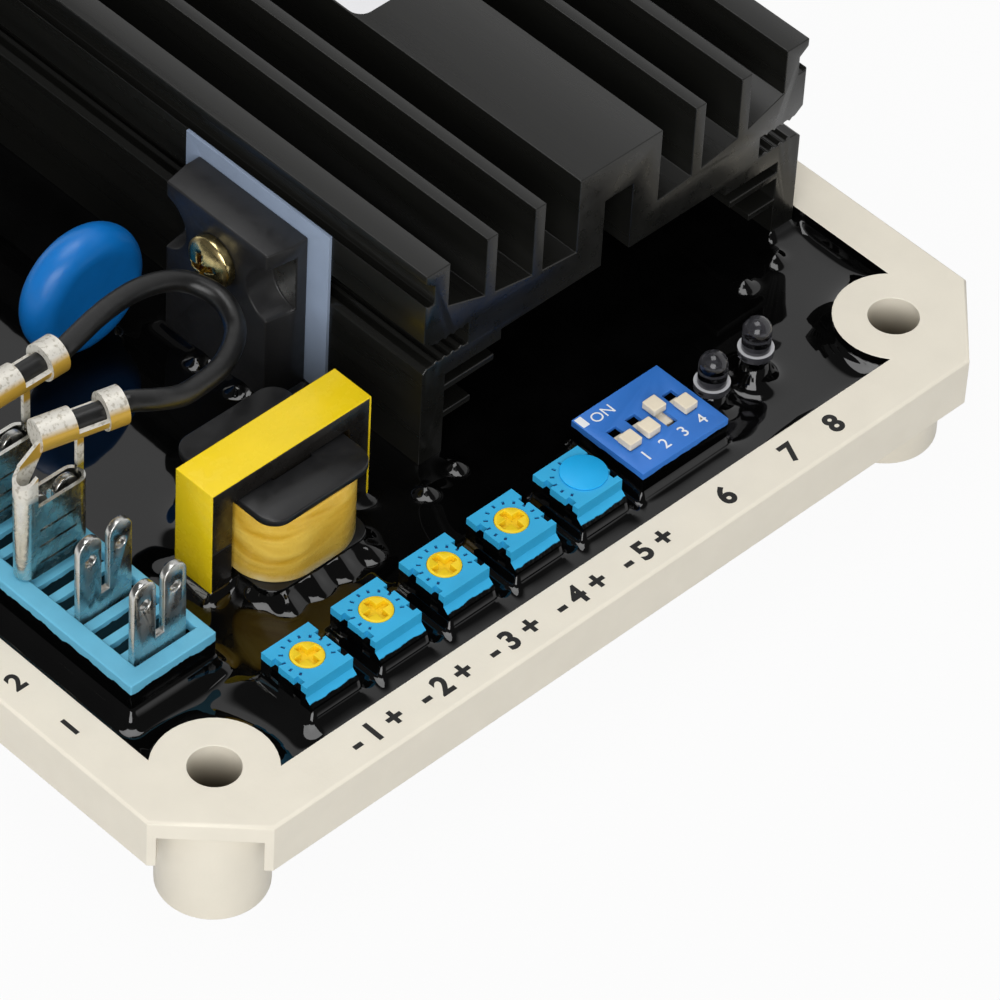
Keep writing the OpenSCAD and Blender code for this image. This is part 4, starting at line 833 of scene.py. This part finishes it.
def backdrop(tree):
    """What polished surfaces mirror: a white sheet behind the object, a glow overhead and a dim room."""
    dim, glow = 0.10, 0.8
    away = (0.95, 0.30, -0.58)
    overhead = (0.0, 0.0, 1.0)
    ray = tree.nodes.new("ShaderNodeTexCoord").outputs["Generated"]
    levels = []
    for axis, low, high, bottom, top in ((away, -0.05, 0.07, dim, 1.0), (overhead, 0.94, 0.99, 0.0, glow)):
        dot = tree.nodes.new("ShaderNodeVectorMath")
        dot.operation = "DOT_PRODUCT"
        dot.inputs[1].default_value = axis
        tree.links.new(ray, dot.inputs[0])
        levels.append(ramp(tree, dot.outputs["Value"], low, high, bottom, top))
    return larger(tree, *levels)


def surroundings():
    """Soft even light; the camera sees white."""
    fill = 0.34
    w = bpy.data.worlds.new("studio")
    SCENE.world = w
    w.use_nodes = True
    tree = w.node_tree
    even = tree.nodes["Background"]
    even.inputs["Color"].default_value = (1, 1, 1, 1)
    even.inputs["Strength"].default_value = fill
    mix = tree.nodes.new("ShaderNodeMixShader")
    show = tree.nodes.new("ShaderNodeBackground")
    camera = tree.nodes.new("ShaderNodeLightPath").outputs["Is Camera Ray"]
    tree.links.new(larger(tree, camera, backdrop(tree)), show.inputs["Strength"])
    tree.links.new(seen_share(tree), mix.inputs[0])
    tree.links.new(even.outputs[0], mix.inputs[1])
    tree.links.new(show.outputs[0], mix.inputs[2])
    tree.links.new(mix.outputs[0], tree.nodes["World Output"].inputs[0])


def lamp(name, direction, distance, size, power):
    """Square soft light aimed at the object; metres and watts."""
    data = bpy.data.lights.new(name, "AREA")
    data.size = size
    data.energy = power
    o = bpy.data.objects.new(name, data)
    SCENE.collection.objects.link(o)
    away = Vector(direction).normalized()
    o.location = away * distance
    o.rotation_mode = "QUATERNION"
    o.rotation_quaternion = away.to_track_quat("Z", "Y")


def studio():
    """White surroundings and two soft lamps, one overhead and one from the left front."""
    floor()
    surroundings()
    lamp("overhead", (0.03, 0.05, 1.0), distance=1.05, size=0.62, power=3.9)
    lamp("key", (-0.65, -0.60, 0.47), distance=1.1, size=0.7, power=7.4)
    SCENE.view_settings.view_transform = "Standard"


studio()
